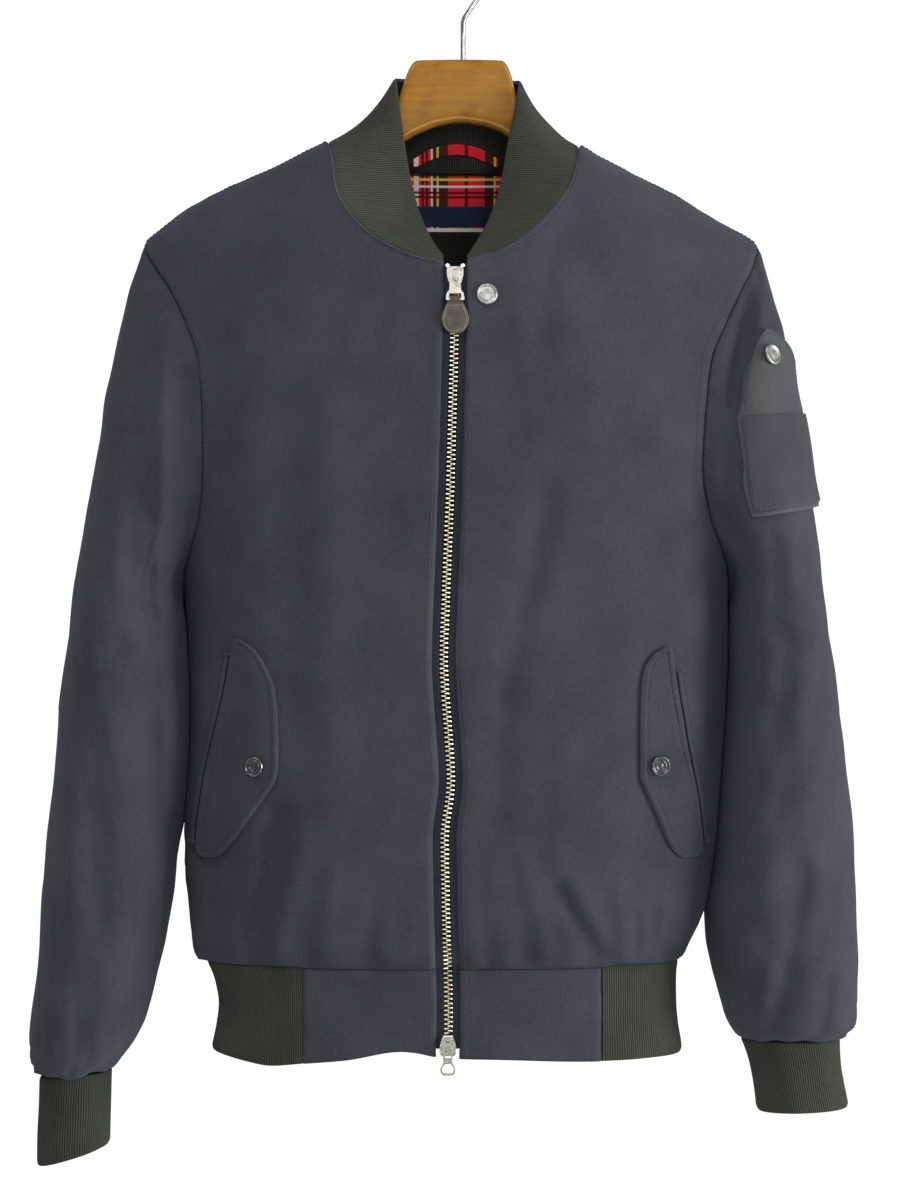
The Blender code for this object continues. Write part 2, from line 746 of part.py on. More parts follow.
def sleeve_point(hand, height, turn):
    """Point of the sleeve: turn 0 is outermost, negative to the front, 180 is innermost."""
    rows = SLEEVE[hand]
    centre, half = sleeve_ring(hand, height)
    power = 2.0 / SLEEVE_SQUARENESS
    x = centre + half * signed_power(math.cos(turn), power)
    reach = read(rows, "height", "front" if turn < 0.0 else "back", height)
    y = reach * signed_power(math.sin(turn), power)
    seam = CUFF_SEAM[hand]
    fade = smooth_step((height - seam) / 14.0) * abs(math.sin(turn))
    if turn < 0.0:
        y -= crease_lift("sleeve", x, height) * fade
    else:
        y += crease_lift("sleeve", x, height + 18.0) * fade * 0.8
    slant = read(rows, "height", "slant", height)
    return Vector((x, y, height - slant * abs(x - centre) * math.copysign(1.0, abs(x) - abs(centre))))


def armhole_turn(hand, point):
    """Turn round the sleeve at which a point of the armhole seam lies nearest."""
    centre, half = sleeve_ring(hand, point.z)
    across = min(max((point.x - centre) / half, -1.0), 1.0)
    turn = math.acos(signed_power(across, SLEEVE_SQUARENESS / 2.0))
    return -turn if point.y < 0.0 else turn


def armhole_seam(hand, front, back):
    """Seam points round the armhole: armpit, up the front, shoulder tip, down the back."""
    start = PANEL_ROWS.index(ARMPIT_SHARE)
    front_edge = [row[-1] for row in front[start:]]
    back_edge = [row[-1 if hand == "right" else 0] for row in back[start:]]
    armpit = (front_edge[0] + back_edge[0]) / 2.0
    tip = (front_edge[-1] + back_edge[-1]) / 2.0
    return [armpit] + front_edge[1:-1] + [tip] + list(reversed(back_edge[1:-1]))


def sleeve_grid(hand, seam):
    """Rings of the sleeve from the armhole down to the cuff seam."""
    count = len(seam)
    level_turns = [-math.pi + 2.0 * math.pi * i / count for i in range(count)]
    seam_turns = [-math.pi] + [armhole_turn(hand, point) for point in seam[1:]]
    out = -1.0 if hand == "left" else 1.0
    grid = []
    for share in (0.0, 0.07, 0.16, 0.27, 0.39, 0.52, 0.66, 0.82, 1.0):
        ring = []
        for index, point in enumerate(seam):
            height = mix(point.z, SLEEVE_LEVEL, share)
            turn = mix(seam_turns[index], level_turns[index], smooth_step(share) * 0.6 + share * 0.4)
            on_sleeve = sleeve_point(hand, height, turn)
            at_seam = sleeve_point(hand, point.z, seam_turns[index])
            pull = 1.0 - smooth_step(share / 0.5)
            placed = on_sleeve + (point - at_seam) * pull
            under = smooth_step((-math.cos(seam_turns[index]) - 0.2) / 0.6)
            placed.x += out * (SEAM + UNDERARM_EASE * under * smooth_step(share / 0.12) * pull)
            ring.append(placed)
        grid.append(ring)
    seam_height = CUFF_SEAM[hand]
    for height in (-575, -610, -645, -680, -712, -738, -757):
        if height > seam_height + 24.0:
            grid.append([sleeve_point(hand, height, turn) for turn in level_turns])
    for rise in (21.0, 14.0, 8.0, 4.0, 1.8, SEAM):
        grid.append([sleeve_point(hand, seam_height + rise, turn) for turn in level_turns])
    return grid


def cuff_grid(hand, turns):
    heights = spread(CUFF_SEAM[hand] - SEAM / 2.0, CUFF_END[hand], 4)
    return [[sleeve_point(hand, height, turn) for turn in turns] for height in heights]


# ---------------------------------------------------------------- shape of the collar
def collar_edge():
    """Free edge of the collar, column for column with the neck seam."""
    def front_edge(hand):
        rows = NECK[hand]
        return [
            Vector([read(rows, "along", part, step) for part in ("top_x", "top_y", "top_height")])
            for step in NECK_STEPS
        ]

    left, right = front_edge("left"), front_edge("right")
    start, end = left[-1], right[-1]
    back = []
    for angle in spread(-90.0, 90.0, BACK_NECK_STEPS)[1:-1]:
        across = math.sin(math.radians(angle))
        reach = math.cos(math.radians(angle))
        point = start.lerp(end, (across + 1.0) / 2.0)
        back.append(point + Vector((0.0, COLLAR_BACK_REACH * reach, COLLAR_BACK_RISE * reach)))
    return left + back + list(reversed(right))


def neck_seam(front_left, front_right, back):
    """Seam points round the neck: left front, back, right front."""
    count = len(NECK_STEPS)
    left = front_left[-1][:count]
    right = front_right[-1][:count]
    across = back[-1][SHOULDER_STEPS:SHOULDER_STEPS + BACK_NECK_STEPS + 1]
    left_point = (left[-1] + across[0]) / 2.0
    right_point = (right[-1] + across[-1]) / 2.0
    return left[:-1] + [left_point] + across[1:-1] + [right_point] + list(reversed(right[:-1]))


def collar_grid(seam):
    edge = collar_edge()
    middle = Vector((-6.0, 8.0, 0.0))
    grid = []
    for share in (0.0, 0.12, 0.3, 0.5, 0.72, 0.9, 1.0):
        row = []
        for low, high in zip(seam, edge):
            rise = high - low
            start = low + rise.normalized() * SEAM
            inward = Vector((middle.x - low.x, middle.y - low.y, -40.0)).normalized()
            hollow = COLLAR_HOLLOW * min(rise.length / 60.0, 1.0) ** 2
            sag = hollow * 4.0 * share * (1.0 - share) * (1.25 - 0.5 * share)
            row.append(start.lerp(high, share) + inward * sag)
        grid.append(row)
    return grid


# ---------------------------------------------------------------- shape of the hem


def hem_column(face, turn_at):
    """Points of one hem column from its seam down to its edge."""
    start = HEM_SEAM - SEAM
    x = body_point(face, start, turn_at(start)).x
    end = read(HEM_END[face], "x", "height", x)
    return [body_point(face, height, turn_at(height)) for height in spread(start, end, 4)]


def columns_to_rows(columns):
    return [list(row) for row in zip(*columns)]


def hem_front_grid(hand):
    """Cloth stretch of the hem between the zip and the rib."""
    seam_x = HEM_FRONT_LEFT + SEAM if hand == "left" else HEM_FRONT_RIGHT - SEAM
    columns = []
    for share in spread(0.0, 1.0, 6):
        columns.append(hem_column(
            "front",
            lambda height: body_turn(height, mix(placket_x(hand, height), seam_x, share)),
        ))
    return columns_to_rows(columns)


def hem_rib_grid():
    """Rib stretch of the hem: round the left side, the back and the right side."""
    quarter = math.pi / 2.0
    columns = []
    for share in spread(0.0, 1.0, 7)[:-1]:
        columns.append(hem_column(
            "front", lambda height: mix(body_turn(height, HEM_FRONT_LEFT), -quarter, share)
        ))
    for turn in spread(-quarter, quarter, 20):
        columns.append(hem_column("back", lambda height: turn))
    for share in spread(0.0, 1.0, 7)[1:]:
        columns.append(hem_column(
            "front", lambda height: mix(quarter, body_turn(height, HEM_FRONT_RIGHT), share)
        ))
    return columns_to_rows(columns)


# ---------------------------------------------------------------- making solids
def clear_scene():
    for old in list(bpy.data.objects):
        bpy.data.objects.remove(old, do_unlink=True)


def finish_material(name, finish):
    colour, roughness, metallic = FINISHES[finish]
    material = bpy.data.materials.new(name + "_" + finish)
    material.use_nodes = True
    shader = material.node_tree.nodes["Principled BSDF"]
    shader.inputs["Base Color"].default_value = (*colour, 1.0)
    shader.inputs["Roughness"].default_value = roughness
    shader.inputs["Metallic"].default_value = metallic
    return material


def add_object(name, shape, finish, smooth_angle=35.0):
    """Turn a bmesh in millimetres into a named object in metres."""
    bmesh.ops.recalc_face_normals(shape, faces=shape.faces)
    bmesh.ops.scale(shape, vec=(MM, MM, MM), verts=shape.verts)
    mesh = bpy.data.meshes.new(name)
    shape.to_mesh(mesh)
    shape.free()
    mesh.shade_smooth()
    mesh.set_sharp_from_angle(angle=math.radians(smooth_angle))
    mesh.materials.append(finish_material(name, finish))
    made = bpy.data.objects.new(name, mesh)
    bpy.context.scene.collection.objects.link(made)
    return made


def bmesh_from(points, faces):
    shape = bmesh.new()
    corners = [shape.verts.new(point) for point in points]
    for face in faces:
        shape.faces.new([corners[index] for index in face])
    bmesh.ops.triangulate(shape, faces=shape.faces, quad_method="SHORT_EDGE")
    return shape


def grid_normals(grid, closed, toward):
    """Unit normals of a grid, turned to the side that a middle point's hint names."""
    last_row, last_column = len(grid) - 1, len(grid[0]) - 1
    normals = []
    for r, row in enumerate(grid):
        line = []
        for c, _ in enumerate(row):
            up = grid[min(r + 1, last_row)][c] - grid[max(r - 1, 0)][c]
            if closed:
                across = row[(c + 1) % len(row)] - row[c - 1]
            else:
                across = row[min(c + 1, last_column)] - row[max(c - 1, 0)]
            line.append(across.cross(up).normalized())
        normals.append(line)
    middle = normals[last_row // 2][last_column // 2]
    if middle.dot(toward) < 0.0:
        normals = [[-normal for normal in line] for line in normals]
    return normals


def wall_shape(grid, thickness, toward, closed=False, rims=None):
    """Closed wall: the grid is its outer face and the inner face lies within it.

    rims maps (row, column) to the inward direction that a seam gives that point.
    """
    normals = grid_normals(grid, closed, toward)
    rows, columns = len(grid), len(grid[0])
    outer, inner = [], []
    for r in range(rows):
        for c in range(columns):
            inward = (rims or {}).get((r, c))
            if inward is None:
                inward = -normals[r][c]
            outer.append(grid[r][c])
            inner.append(grid[r][c] + inward * thickness)
    count = rows * columns
    faces = []
    spans = columns if closed else columns - 1
    for r in range(rows - 1):
        for c in range(spans):
            n = (c + 1) % columns
            a, b = r * columns + c, r * columns + n
            d, e = a + columns, b + columns
            faces.append((a, b, e, d))
            faces.append((a + count, d + count, e + count, b + count))
    for c in range(spans):
        n = (c + 1) % columns
        top = (rows - 1) * columns
        faces.append((c, c + count, n + count, n))
        faces.append((top + c, top + n, top + n + count, top + c + count))
    if not closed:
        for r in range(rows - 1):
            a, d = r * columns, (r + 1) * columns
            b, e = a + columns - 1, d + columns - 1
            faces.append((a, d, d + count, a + count))
            faces.append((b, b + count, e + count, e))
    return bmesh_from(outer + inner, faces)


def flat_rim(normals, row):
    """Inward directions that keep a level seam level."""
    rims = {}
    for c, normal in enumerate(normals[row]):
        rims[(row, c)] = Vector((-normal.x, -normal.y, 0.0)).normalized()
    return rims


def armhole_inward(point):
    """At the armhole seam both pieces thicken toward the middle of the armhole."""
    return Vector((0.0, -point.y, ARMHOLE_MIDDLE - point.z)).normalized()


FRONT = Vector((0.0, -1.0, 0.0))
BACK = Vector((0.0, 1.0, 0.0))
DOWN = Vector((0.0, 0.0, -1.0))


def panel_rims(grid, face, neck_rims, neck_start, side_edges):
    """Seam directions of a body panel; side_edges maps a column to its inward x."""
    toward = FRONT if face == "front" else BACK
    normals = grid_normals(grid, False, toward)
    last_row, last_column = len(grid) - 1, len(grid[0]) - 1
    rims = flat_rim(normals, 0)
    for c in range(last_column + 1):
        rims[(last_row, c)] = DOWN
    for column, inward in side_edges.items():
        for r, share in enumerate(PANEL_ROWS):
            if share < ARMPIT_SHARE:
                rims[(r, column)] = Vector((inward, 0.0, 0.0))
            else:
                rims[(r, column)] = armhole_inward(grid[r][column])
    for step, direction in enumerate(neck_rims):
        rims[(last_row, neck_start + step)] = direction
    return rims


def surface_of(shape):
    return BVHTree.FromBMesh(shape)


def face_hit(surface, x, height, start_y, direction):
    """Point and facing direction of a surface, looked at along Y."""
    hit, normal, _, _ = surface.ray_cast(Vector((x, start_y, height)), direction)
    if normal.dot(direction) > 0.0:
        normal = -normal
    return hit, normal


def smooth_normal(x, height):
    """Outward direction of the front at a place, without its facets."""
    step = 2.0
    across = body_at("front", x + step, height) - body_at("front", x - step, height)
    up = body_at("front", x, height + step) - body_at("front", x, height - step)
    return across.cross(up).normalized()


def front_patch(surface, grid, lift, thickness):
    """Outer face of a piece that lies on the front, from a grid of (x, height)."""
    rows = []
    for line in grid:
        row = []
        for x, height in line:
            hit, _ = face_hit(surface, x, height, -200.0, BACK)
            row.append(hit + smooth_normal(x, height) * (lift + thickness))
        rows.append(row)
    return rows


def inside_patch(surface, grid, lift, thickness):
    """Outer face of a piece that lies on the inside of the back."""
    rows = []
    for line in grid:
        row = []
        for x, height in line:
            hit, _ = face_hit(surface, x, height, 0.0, BACK)
            row.append(hit + FRONT * (lift + thickness))
        rows.append(row)
    return rows


def turned_shape(profile, sides=20):
    """Solid turned round Y from a profile of (radius, y), front to back."""
    points, faces = [], []
    for radius, y in profile:
        for i in range(sides):
            angle = 2.0 * math.pi * i / sides
            points.append(Vector((radius * math.cos(angle), y, radius * math.sin(angle))))
    for r in range(len(profile) - 1):
        for i in range(sides):
            n = (i + 1) % sides
            a, b = r * sides + i, r * sides + n
            faces.append((a, b, b + sides, a + sides))
    faces.append(tuple(range(sides)))
    last = (len(profile) - 1) * sides
    faces.append(tuple(last + i for i in reversed(range(sides))))
    return bmesh_from(points, faces)


def seat_on(surface, x, height, radius, gap):
    """Matrix that seats a round piece's back face on a surface, facing out."""
    centre, normal = face_hit(surface, x, height, -200.0, BACK)
    turn = FRONT.rotation_difference(normal).to_matrix()
    rise = 0.0
    for i in range(12):
        angle = 2.0 * math.pi * i / 12
        for reach in (0.5 * radius, radius):
            edge = centre + turn @ Vector((reach * math.cos(angle), 0.0, reach * math.sin(angle)))
            hit, _ = face_hit(surface, edge.x, edge.z, -200.0, BACK)
            rise = max(rise, (hit - centre).dot(normal))
    return Matrix.Translation(centre + normal * (rise + gap)) @ turn.to_4x4()


# ---------------------------------------------------------------- the cloth pieces
def make_shell():
    """Fronts, back, sleeves and collar, and the surfaces that other pieces lie on."""
    fronts = {hand: front_grid(hand) for hand in ("left", "right")}
    back = back_grid()
    seam = neck_seam(fronts["left"], fronts["right"], back)
    collar = collar_grid(seam)

    neck_count = len(NECK_STEPS)
    collar_out = grid_normals(collar, False, BACK)[0]
    collar_left = collar_out[:neck_count]
    collar_back = collar_out[neck_count - 1:neck_count + BACK_NECK_STEPS]
    collar_right = list(reversed(collar_out[-neck_count:]))

    def mitre(panel_normals, collar_normals):
        return [-(a + b).normalized() for a, b in zip(panel_normals, collar_normals)]

    front_neck = {}
    for hand, out in (("left", collar_left), ("right", collar_right)):
        panel = grid_normals(fronts[hand], False, FRONT)[-1][:neck_count]
        front_neck[hand] = mitre(panel, out)
    start = SHOULDER_STEPS
    panel = grid_normals(back, False, BACK)[-1][start:start + BACK_NECK_STEPS + 1]
    back_neck = mitre(panel, collar_back)
    for hand, end in (("left", 0), ("right", -1)):
        shared = (front_neck[hand][-1] + back_neck[end]).normalized()
        front_neck[hand][-1] = shared
        back_neck[end] = shared

    surfaces = {}
    for hand, inward in (("left", 1.0), ("right", -1.0)):
        grid = fronts[hand]
        rims = panel_rims(grid, "front", front_neck[hand], 0, {len(grid[0]) - 1: inward})
        shape = wall_shape(grid, CLOTH, FRONT, rims=rims)
        surfaces[hand] = surface_of(shape)
        add_object("front_" + hand, shape, "wool")
    rims = panel_rims(back, "back", back_neck, start, {0: 1.0, len(back[0]) - 1: -1.0})
    shape = wall_shape(back, CLOTH, BACK, rims=rims)
    surfaces["back"] = surface_of(shape)
    add_object("back", shape, "wool")

    rims = {}
    shared = front_neck["left"] + back_neck[1:-1] + list(reversed(front_neck["right"]))
    for c, direction in enumerate(shared):
        rims[(0, c)] = direction
    shape = wall_shape(collar, COLLAR_RIB, BACK, rims=rims)
    surfaces["collar"] = surface_of(shape)
    add_object("collar", shape, "rib")

    for hand in ("left", "right"):
        make_sleeve(hand, armhole_seam(hand, fronts[hand], back))
    return surfaces, fronts


def make_sleeve(hand, seam):
    grid = sleeve_grid(hand, seam)
    toward = FRONT
    normals = grid_normals(grid, True, toward)
    middle = grid[len(grid) // 2]
    if (middle[-1] - sum(middle, Vector()) / len(middle)).dot(normals[len(grid) // 2][-1]) < 0.0:
        toward = BACK
        normals = grid_normals(grid, True, toward)
    rims = {(0, c): armhole_inward(point) for c, point in enumerate(grid[0])}
    rims.update(flat_rim(normals, len(grid) - 1))
    add_object("sleeve_" + hand, wall_shape(grid, CLOTH, toward, closed=True, rims=rims), "wool")
    turns = [-math.pi + 2.0 * math.pi * i / len(seam) for i in range(len(seam))]
    cuff = cuff_grid(hand, turns)
    normals = grid_normals(cuff, True, toward)
    if (cuff[2][0] - sum(cuff[2], Vector()) / len(turns)).dot(normals[2][0]) < 0.0:
        toward = BACK if toward == FRONT else FRONT
        normals = grid_normals(cuff, True, toward)
    rims = flat_rim(normals, 0)
    rims.update(flat_rim(normals, len(cuff) - 1))
    add_object("cuff_" + hand, wall_shape(cuff, RIB, toward, closed=True, rims=rims), "rib")


def make_hem():
    for hand in ("left", "right"):
        grid = hem_front_grid(hand)
        rims = flat_rim(grid_normals(grid, False, FRONT), 0)
        add_object("hem_front_" + hand, wall_shape(grid, CLOTH, FRONT, rims=rims), "wool")
    grid = hem_rib_grid()
    rims = flat_rim(grid_normals(grid, False, BACK), 0)
    add_object("hem_rib", wall_shape(grid, RIB, BACK, rims=rims), "rib")


# ---------------------------------------------------------------- what lies on the cloth


def strip_places(rows, columns, first="inner", second="outer"):
    """Places between the two side edges of each row, from the foot up."""
    return [
        [(mix(row[first], row[second], share), row["height"]) for share in spread(0.0, 1.0, columns)]
        for row in reversed(rows)
    ]


def make_pockets(surfaces):
    for hand in ("left", "right"):
        surface = surfaces[hand]
        rows = FLAPS[hand]
        side = "inner" if hand == "left" else "outer"
        grid = front_patch(surface, strip_places(rows, 6), LIFT, FLAP_THICK)
        flap = wall_shape(grid, FLAP_THICK, FRONT)
        on_flap = surface_of(flap)
        add_object("pocket_flap_" + hand, flap, "wool")
        out = -1.0 if hand == "left" else 1.0
        welt_rows = []
        for row in rows[2:-2]:
            edge = row[side]
            welt_rows.append({
                "height": row["height"],
                "near": edge + out * WELT_GAP,
                "far": edge + out * (WELT_GAP + WELT_WIDTH),
            })
        places = strip_places(welt_rows, 2, "near", "far")
        grid = front_patch(surface, places, LIFT, WELT_THICK)
        add_object("pocket_welt_" + hand, wall_shape(grid, WELT_THICK, FRONT), "wool")
        x, height = BUTTONS[hand]
        button = turned_shape(BUTTON_PROFILE)
        seat = seat_on(on_flap, x, height, BUTTON_RADIUS, SEAM)
        bmesh.ops.transform(button, matrix=seat, verts=button.verts)
        add_object("pocket_button_" + hand, button, "horn")


def make_neck_snap(surfaces):
    snap = turned_shape(SNAP_PROFILE)
    x, height = NECK_SNAP
    seat = seat_on(surfaces["right"], x, height, SNAP_RADIUS, SEAM)
    bmesh.ops.transform(snap, matrix=seat, verts=snap.verts)
    add_object("neck_snap", snap, "snap_metal")


def tab_point(along, across, lift):
    """Point over the right sleeve under the tab: along from its point, across from the front."""
    at = along * (len(TAB) - 1)
    low = min(int(at), len(TAB) - 2)
    row = {key: mix(TAB[low][key], TAB[low + 1][key], at - low) for key in TAB[0]}
    height = mix(row["inner_height"], row["outer_height"], across)
    turn = math.radians(mix(row["inner_turn"], row["outer_turn"], across))

    def base(h, t):
        return sleeve_point("right", h, t)

    step = 2.0
    round_way = base(height, turn + 0.04) - base(height, turn - 0.04)
    up = base(height + step, turn) - base(height - step, turn)
    normal = round_way.cross(up).normalized()
    middle = Vector((sleeve_ring("right", height)[0], 0.0, height))
    if normal.dot(base(height, turn) - middle) < 0.0:
        normal = -normal
    stand = lift + TAB_STAND * smooth_step((across - 0.6) / 0.4) * smooth_step(along / 0.3)
    return base(height, turn) + normal * stand, normal


def make_sleeve_tab():
    outward = Vector(TAB_OUTWARD)
    top = TAB_LIFT + TAB_THICK
    grid = [
        [tab_point(along, across, top)[0] for across in spread(0.0, 1.0, 8)]
        for along in reversed(TAB_STEPS)
    ]
    add_object("sleeve_tab", wall_shape(grid, TAB_THICK, outward), "nylon")
    top += LABEL_THICK + LABEL_GAP
    start, end = TAB_LABEL_SPAN
    grid = [
        [tab_point(along, across, top)[0] for across in spread(*LABEL_SIDES, 8)]
        for along in spread(end, start, 6)
    ]
    add_object("sleeve_tab_label", wall_shape(grid, LABEL_THICK, outward), "satin")
    point, normal = tab_point(*SLEEVE_SNAP, TAB_LIFT + TAB_THICK + SLEEVE_SNAP_GAP)
    turn = FRONT.rotation_difference(normal).to_matrix().to_4x4()
    snap = turned_shape(SNAP_PROFILE)
    bmesh.ops.transform(snap, matrix=Matrix.Translation(point) @ turn, verts=snap.verts)
    add_object("sleeve_tab_snap", snap, "snap_metal")


# ---------------------------------------------------------------- what shows inside the neck
def rectangle(left, right, low, high, columns, rows):
    return [[(x, height) for x in spread(left, right, columns)] for height in spread(low, high, rows)]


def make_neck_inside(surfaces):
    places = rectangle(*YOKE_PLACE, 8, 7)
    grid = inside_patch(surfaces["back"], places, INSIDE_GAP, INSIDE_THICK)
    yoke = wall_shape(grid, INSIDE_THICK, FRONT)
    on_yoke = surface_of(yoke)
    add_object("lining_yoke", yoke, "tartan")
    places = rectangle(*NECK_LABEL_PLACE, 6, 2)
    grid = inside_patch(on_yoke, places, INSIDE_GAP, INSIDE_THICK)
    add_object("neck_label", wall_shape(grid, INSIDE_THICK, FRONT), "navy_satin")
    places = rectangle(*LOWER_LABEL_PLACE, 4, 3)
    grid = inside_patch(on_yoke, places, INSIDE_GAP, INSIDE_THICK)
    add_object("neck_label_lower", wall_shape(grid, INSIDE_THICK, FRONT), "satin")
    loop = []
    for edge in (-LOOP_HALF_WIDTH, LOOP_HALF_WIDTH):
        line = []
        for across in spread(-1.0, 1.0, 12):
            x = LOOP_MIDDLE + LOOP_HALF * across
            height = LOOP_FOOT + edge + LOOP_RISE * (1.0 - across ** 2)
            deepest = min(
                face_hit(surface, x, height + part, 0.0, BACK)[0].y
                for surface in (on_yoke, surfaces["back"], surfaces["collar"])
                for part in (-1.0, 0.0, 1.0)
                if surface.ray_cast(Vector((x, 0.0, height + part)), BACK)[0]
            )
            line.append(Vector((x, deepest - LOOP_GAP, height)))
        loop.append(line)
    add_object("neck_loop", wall_shape(loop, LOOP_THICK, FRONT), "tartan")


# ---------------------------------------------------------------- the zip
def front_out(x, height, outward):
    """Point on the front moved outward."""
    return body_at("front", x, height) + smooth_normal(x, height) * outward


def zip_tilt(height):
    """Lean of the front at the zip: a turn about X."""
    step = 8.0
    x = read(ZIP, "height", "x", height)
    high = body_at("front", x, height + step)
    low = body_at("front", x, height - step)
    return math.atan2(high.y - low.y, high.z - low.z)


def zip_frame(height):
    x = read(ZIP, "height", "x", height)
    return Matrix.Translation(body_at("front", x, height)) @ Matrix.Rotation(-zip_tilt(height), 4, "X")


def make_zip_tapes(fronts):
    hem = [row[0].z for row in hem_front_grid("left")]
    heights = hem[1:] + [row[0].z for row in fronts["left"][:-1]]
    heights = sorted({height for height in heights if height > TAPE_LOW} | {TAPE_LOW, TAPE_TOP})
    for hand, out in (("left", -1.0), ("right", 1.0)):
        rows = []
        for height in heights:
            middle = read(ZIP, "height", "x", height)
            rows.append([
                front_out(middle + out * across, height, -TAPE_DEPTH)
                for across in (CHAIN_HALF + CHAIN_GAP, PLACKET, TAPE_HALF)
            ])
        add_object("zip_tape_" + hand, wall_shape(rows, TAPE_THICK, FRONT), "tape")
    rows = []
    low = BOTTOM_SLIDER + SLIDER_LENGTH / 2.0 + STOP_GAP
    high = TOP_SLIDER - SLIDER_LENGTH / 2.0 - STOP_GAP
    for height in [low] + [height for height in heights if low < height < high] + [high]:
        middle = read(ZIP, "height", "x", height)
        rows.append([
            front_out(middle + across, height, -CHAIN_INSET) for across in (-CHAIN_HALF, CHAIN_HALF)
        ])
    add_object("zip_chain", wall_shape(rows, CHAIN_THICK, FRONT), "zip_metal")


def slider_shape(flip):
    """Front and rear plates on a core, with a groove for the tape at each side."""
    points, faces = [], []
    front, inner = SLIDER_FRONT
    behind, rear = SLIDER_REAR
    core = SLIDER_CORE
    for row in SLIDER_ROWS:
        half = row["half"]
        narrow = half - REAR_NARROWER
        outline = (
            (-half, front), (half, front), (half, inner), (core, inner), (core, behind), (narrow, behind),
            (narrow, rear), (-narrow, rear), (-narrow, behind), (-core, behind), (-core, inner),
            (-half, inner),
        )
        points += [Vector((x, y, row["height"] * flip)) for x, y in outline]
    sides = 12
    for r in range(len(SLIDER_ROWS) - 1):
        for i in range(sides):
            n = (i + 1) % sides
            a, b = r * sides + i, r * sides + n
            faces.append((a, b, b + sides, a + sides))
    for base in (0, (len(SLIDER_ROWS) - 1) * sides):
        for cap in ((0, 1, 2, 3, 10, 11), (3, 4, 9, 10), (4, 5, 6, 7, 8, 9)):
            faces.append(tuple(base + i for i in cap))
    return bmesh_from(points, faces)


def bail_shape():
    """Arch on the slider's face that the pull hangs from."""
    profile = BAIL_PROFILE
    points = [Vector((side, y, z)) for side in (-BAIL_HALF, BAIL_HALF) for z, y in profile]
    count = len(profile)
    faces = [(i, (i + 1) % count, (i + 1) % count + count, i + count) for i in range(count)]
    for i in range(5):
        j = count - 1 - i
        faces.append((i, i + 1, j - 1, j))
        faces.append((i + count, j + count, j - 1 + count, i + 1 + count))
    return bmesh_from(points, faces)


def union(base, added):
    """Join a second closed shape to a first as one body."""
    joined = base.modifiers.new("join", "BOOLEAN")
    joined.operation = "UNION"
    joined.solver = "EXACT"
    joined.object = added
    added.hide_render = True
    added.display_type = "WIRE"


def frame_plate(rows, openings, half_thickness):
    """Flat plate hanging from its hinge: rows of (height, half width, half opening)."""
    points, faces = [], []
    for height, half, hole in rows:
        for y in (-half_thickness, half_thickness):
            points += [Vector((x, y, height)) for x in (-half, -hole, hole, half)]

    def at(row, layer, column):
        return row * 8 + layer * 4 + column

    for r in range(len(rows) - 1):
        columns = (0, 2) if r in openings else (0, 1, 2)
        for c in columns:
            faces.append((at(r, 0, c), at(r, 0, c + 1), at(r + 1, 0, c + 1), at(r + 1, 0, c)))
            faces.append((at(r, 1, c), at(r + 1, 1, c), at(r + 1, 1, c + 1), at(r, 1, c + 1)))
        faces.append((at(r, 0, 0), at(r + 1, 0, 0), at(r + 1, 1, 0), at(r, 1, 0)))
        faces.append((at(r, 0, 3), at(r, 1, 3), at(r + 1, 1, 3), at(r + 1, 0, 3)))
        if r in openings:
            faces.append((at(r, 0, 1), at(r + 1, 0, 1), at(r + 1, 1, 1), at(r, 1, 1)))
            faces.append((at(r, 0, 2), at(r, 1, 2), at(r + 1, 1, 2), at(r + 1, 0, 2)))
    last = len(rows) - 1
    for r in range(last + 1):
        above_open = (r - 1) in openings
        below_open = r in openings
        if r in (0, last):
            for c in range(3):
                faces.append((at(r, 0, c), at(r, 0, c + 1), at(r, 1, c + 1), at(r, 1, c)))
        elif above_open != below_open:
            faces.append((at(r, 0, 1), at(r, 0, 2), at(r, 1, 2), at(r, 1, 1)))
    return bmesh_from(points, faces)


def tag_shape():
    """Leather tag: a loop round the pull's bar and a round-footed tab under it."""
    count = 12
    half, thick = TAG_LOOP["half"], TAG_HALF_THICK
    points, faces = [], []
    angles = [math.radians(-90.0 + 15.0 + 30.0 * i) for i in range(count)]
    for side in (-half, half):
        for radius in (TAG_LOOP["outer"], TAG_LOOP["inner"]):
            points += [Vector((side, radius * math.cos(a), radius * math.sin(a))) for a in angles]

    def at(side, ring, i):
        return side * 2 * count + ring * count + i % count

    for i in range(count):
        for side in (0, 1):
            faces.append((at(side, 0, i), at(side, 0, i + 1), at(side, 1, i + 1), at(side, 1, i)))
        faces.append((at(0, 1, i), at(0, 1, i + 1), at(1, 1, i + 1), at(1, 1, i)))
        if i != count - 1:
            faces.append((at(0, 0, i), at(1, 0, i), at(1, 0, i + 1), at(0, 0, i + 1)))
    above = (at(0, 0, 0), at(0, 0, count - 1), at(1, 0, count - 1), at(1, 0, 0))
    for height, wide in TAG_ROWS:
        start = len(points)
        points += [
            Vector((-wide, thick, height)), Vector((-wide, -thick, height)),
            Vector((wide, -thick, height)), Vector((wide, thick, height)),
        ]
        below = (start, start + 1, start + 2, start + 3)
        for i in range(4):
            n = (i + 1) % 4
            faces.append((above[i], above[n], below[n], below[i]))
        above = below
    faces.append(above)
    return bmesh_from(points, faces)


def place(made, matrix):
    """Set an object at a frame given in millimetres."""
    made.matrix_world = Matrix.Translation(matrix.translation * MM) @ matrix.to_3x3().to_4x4()


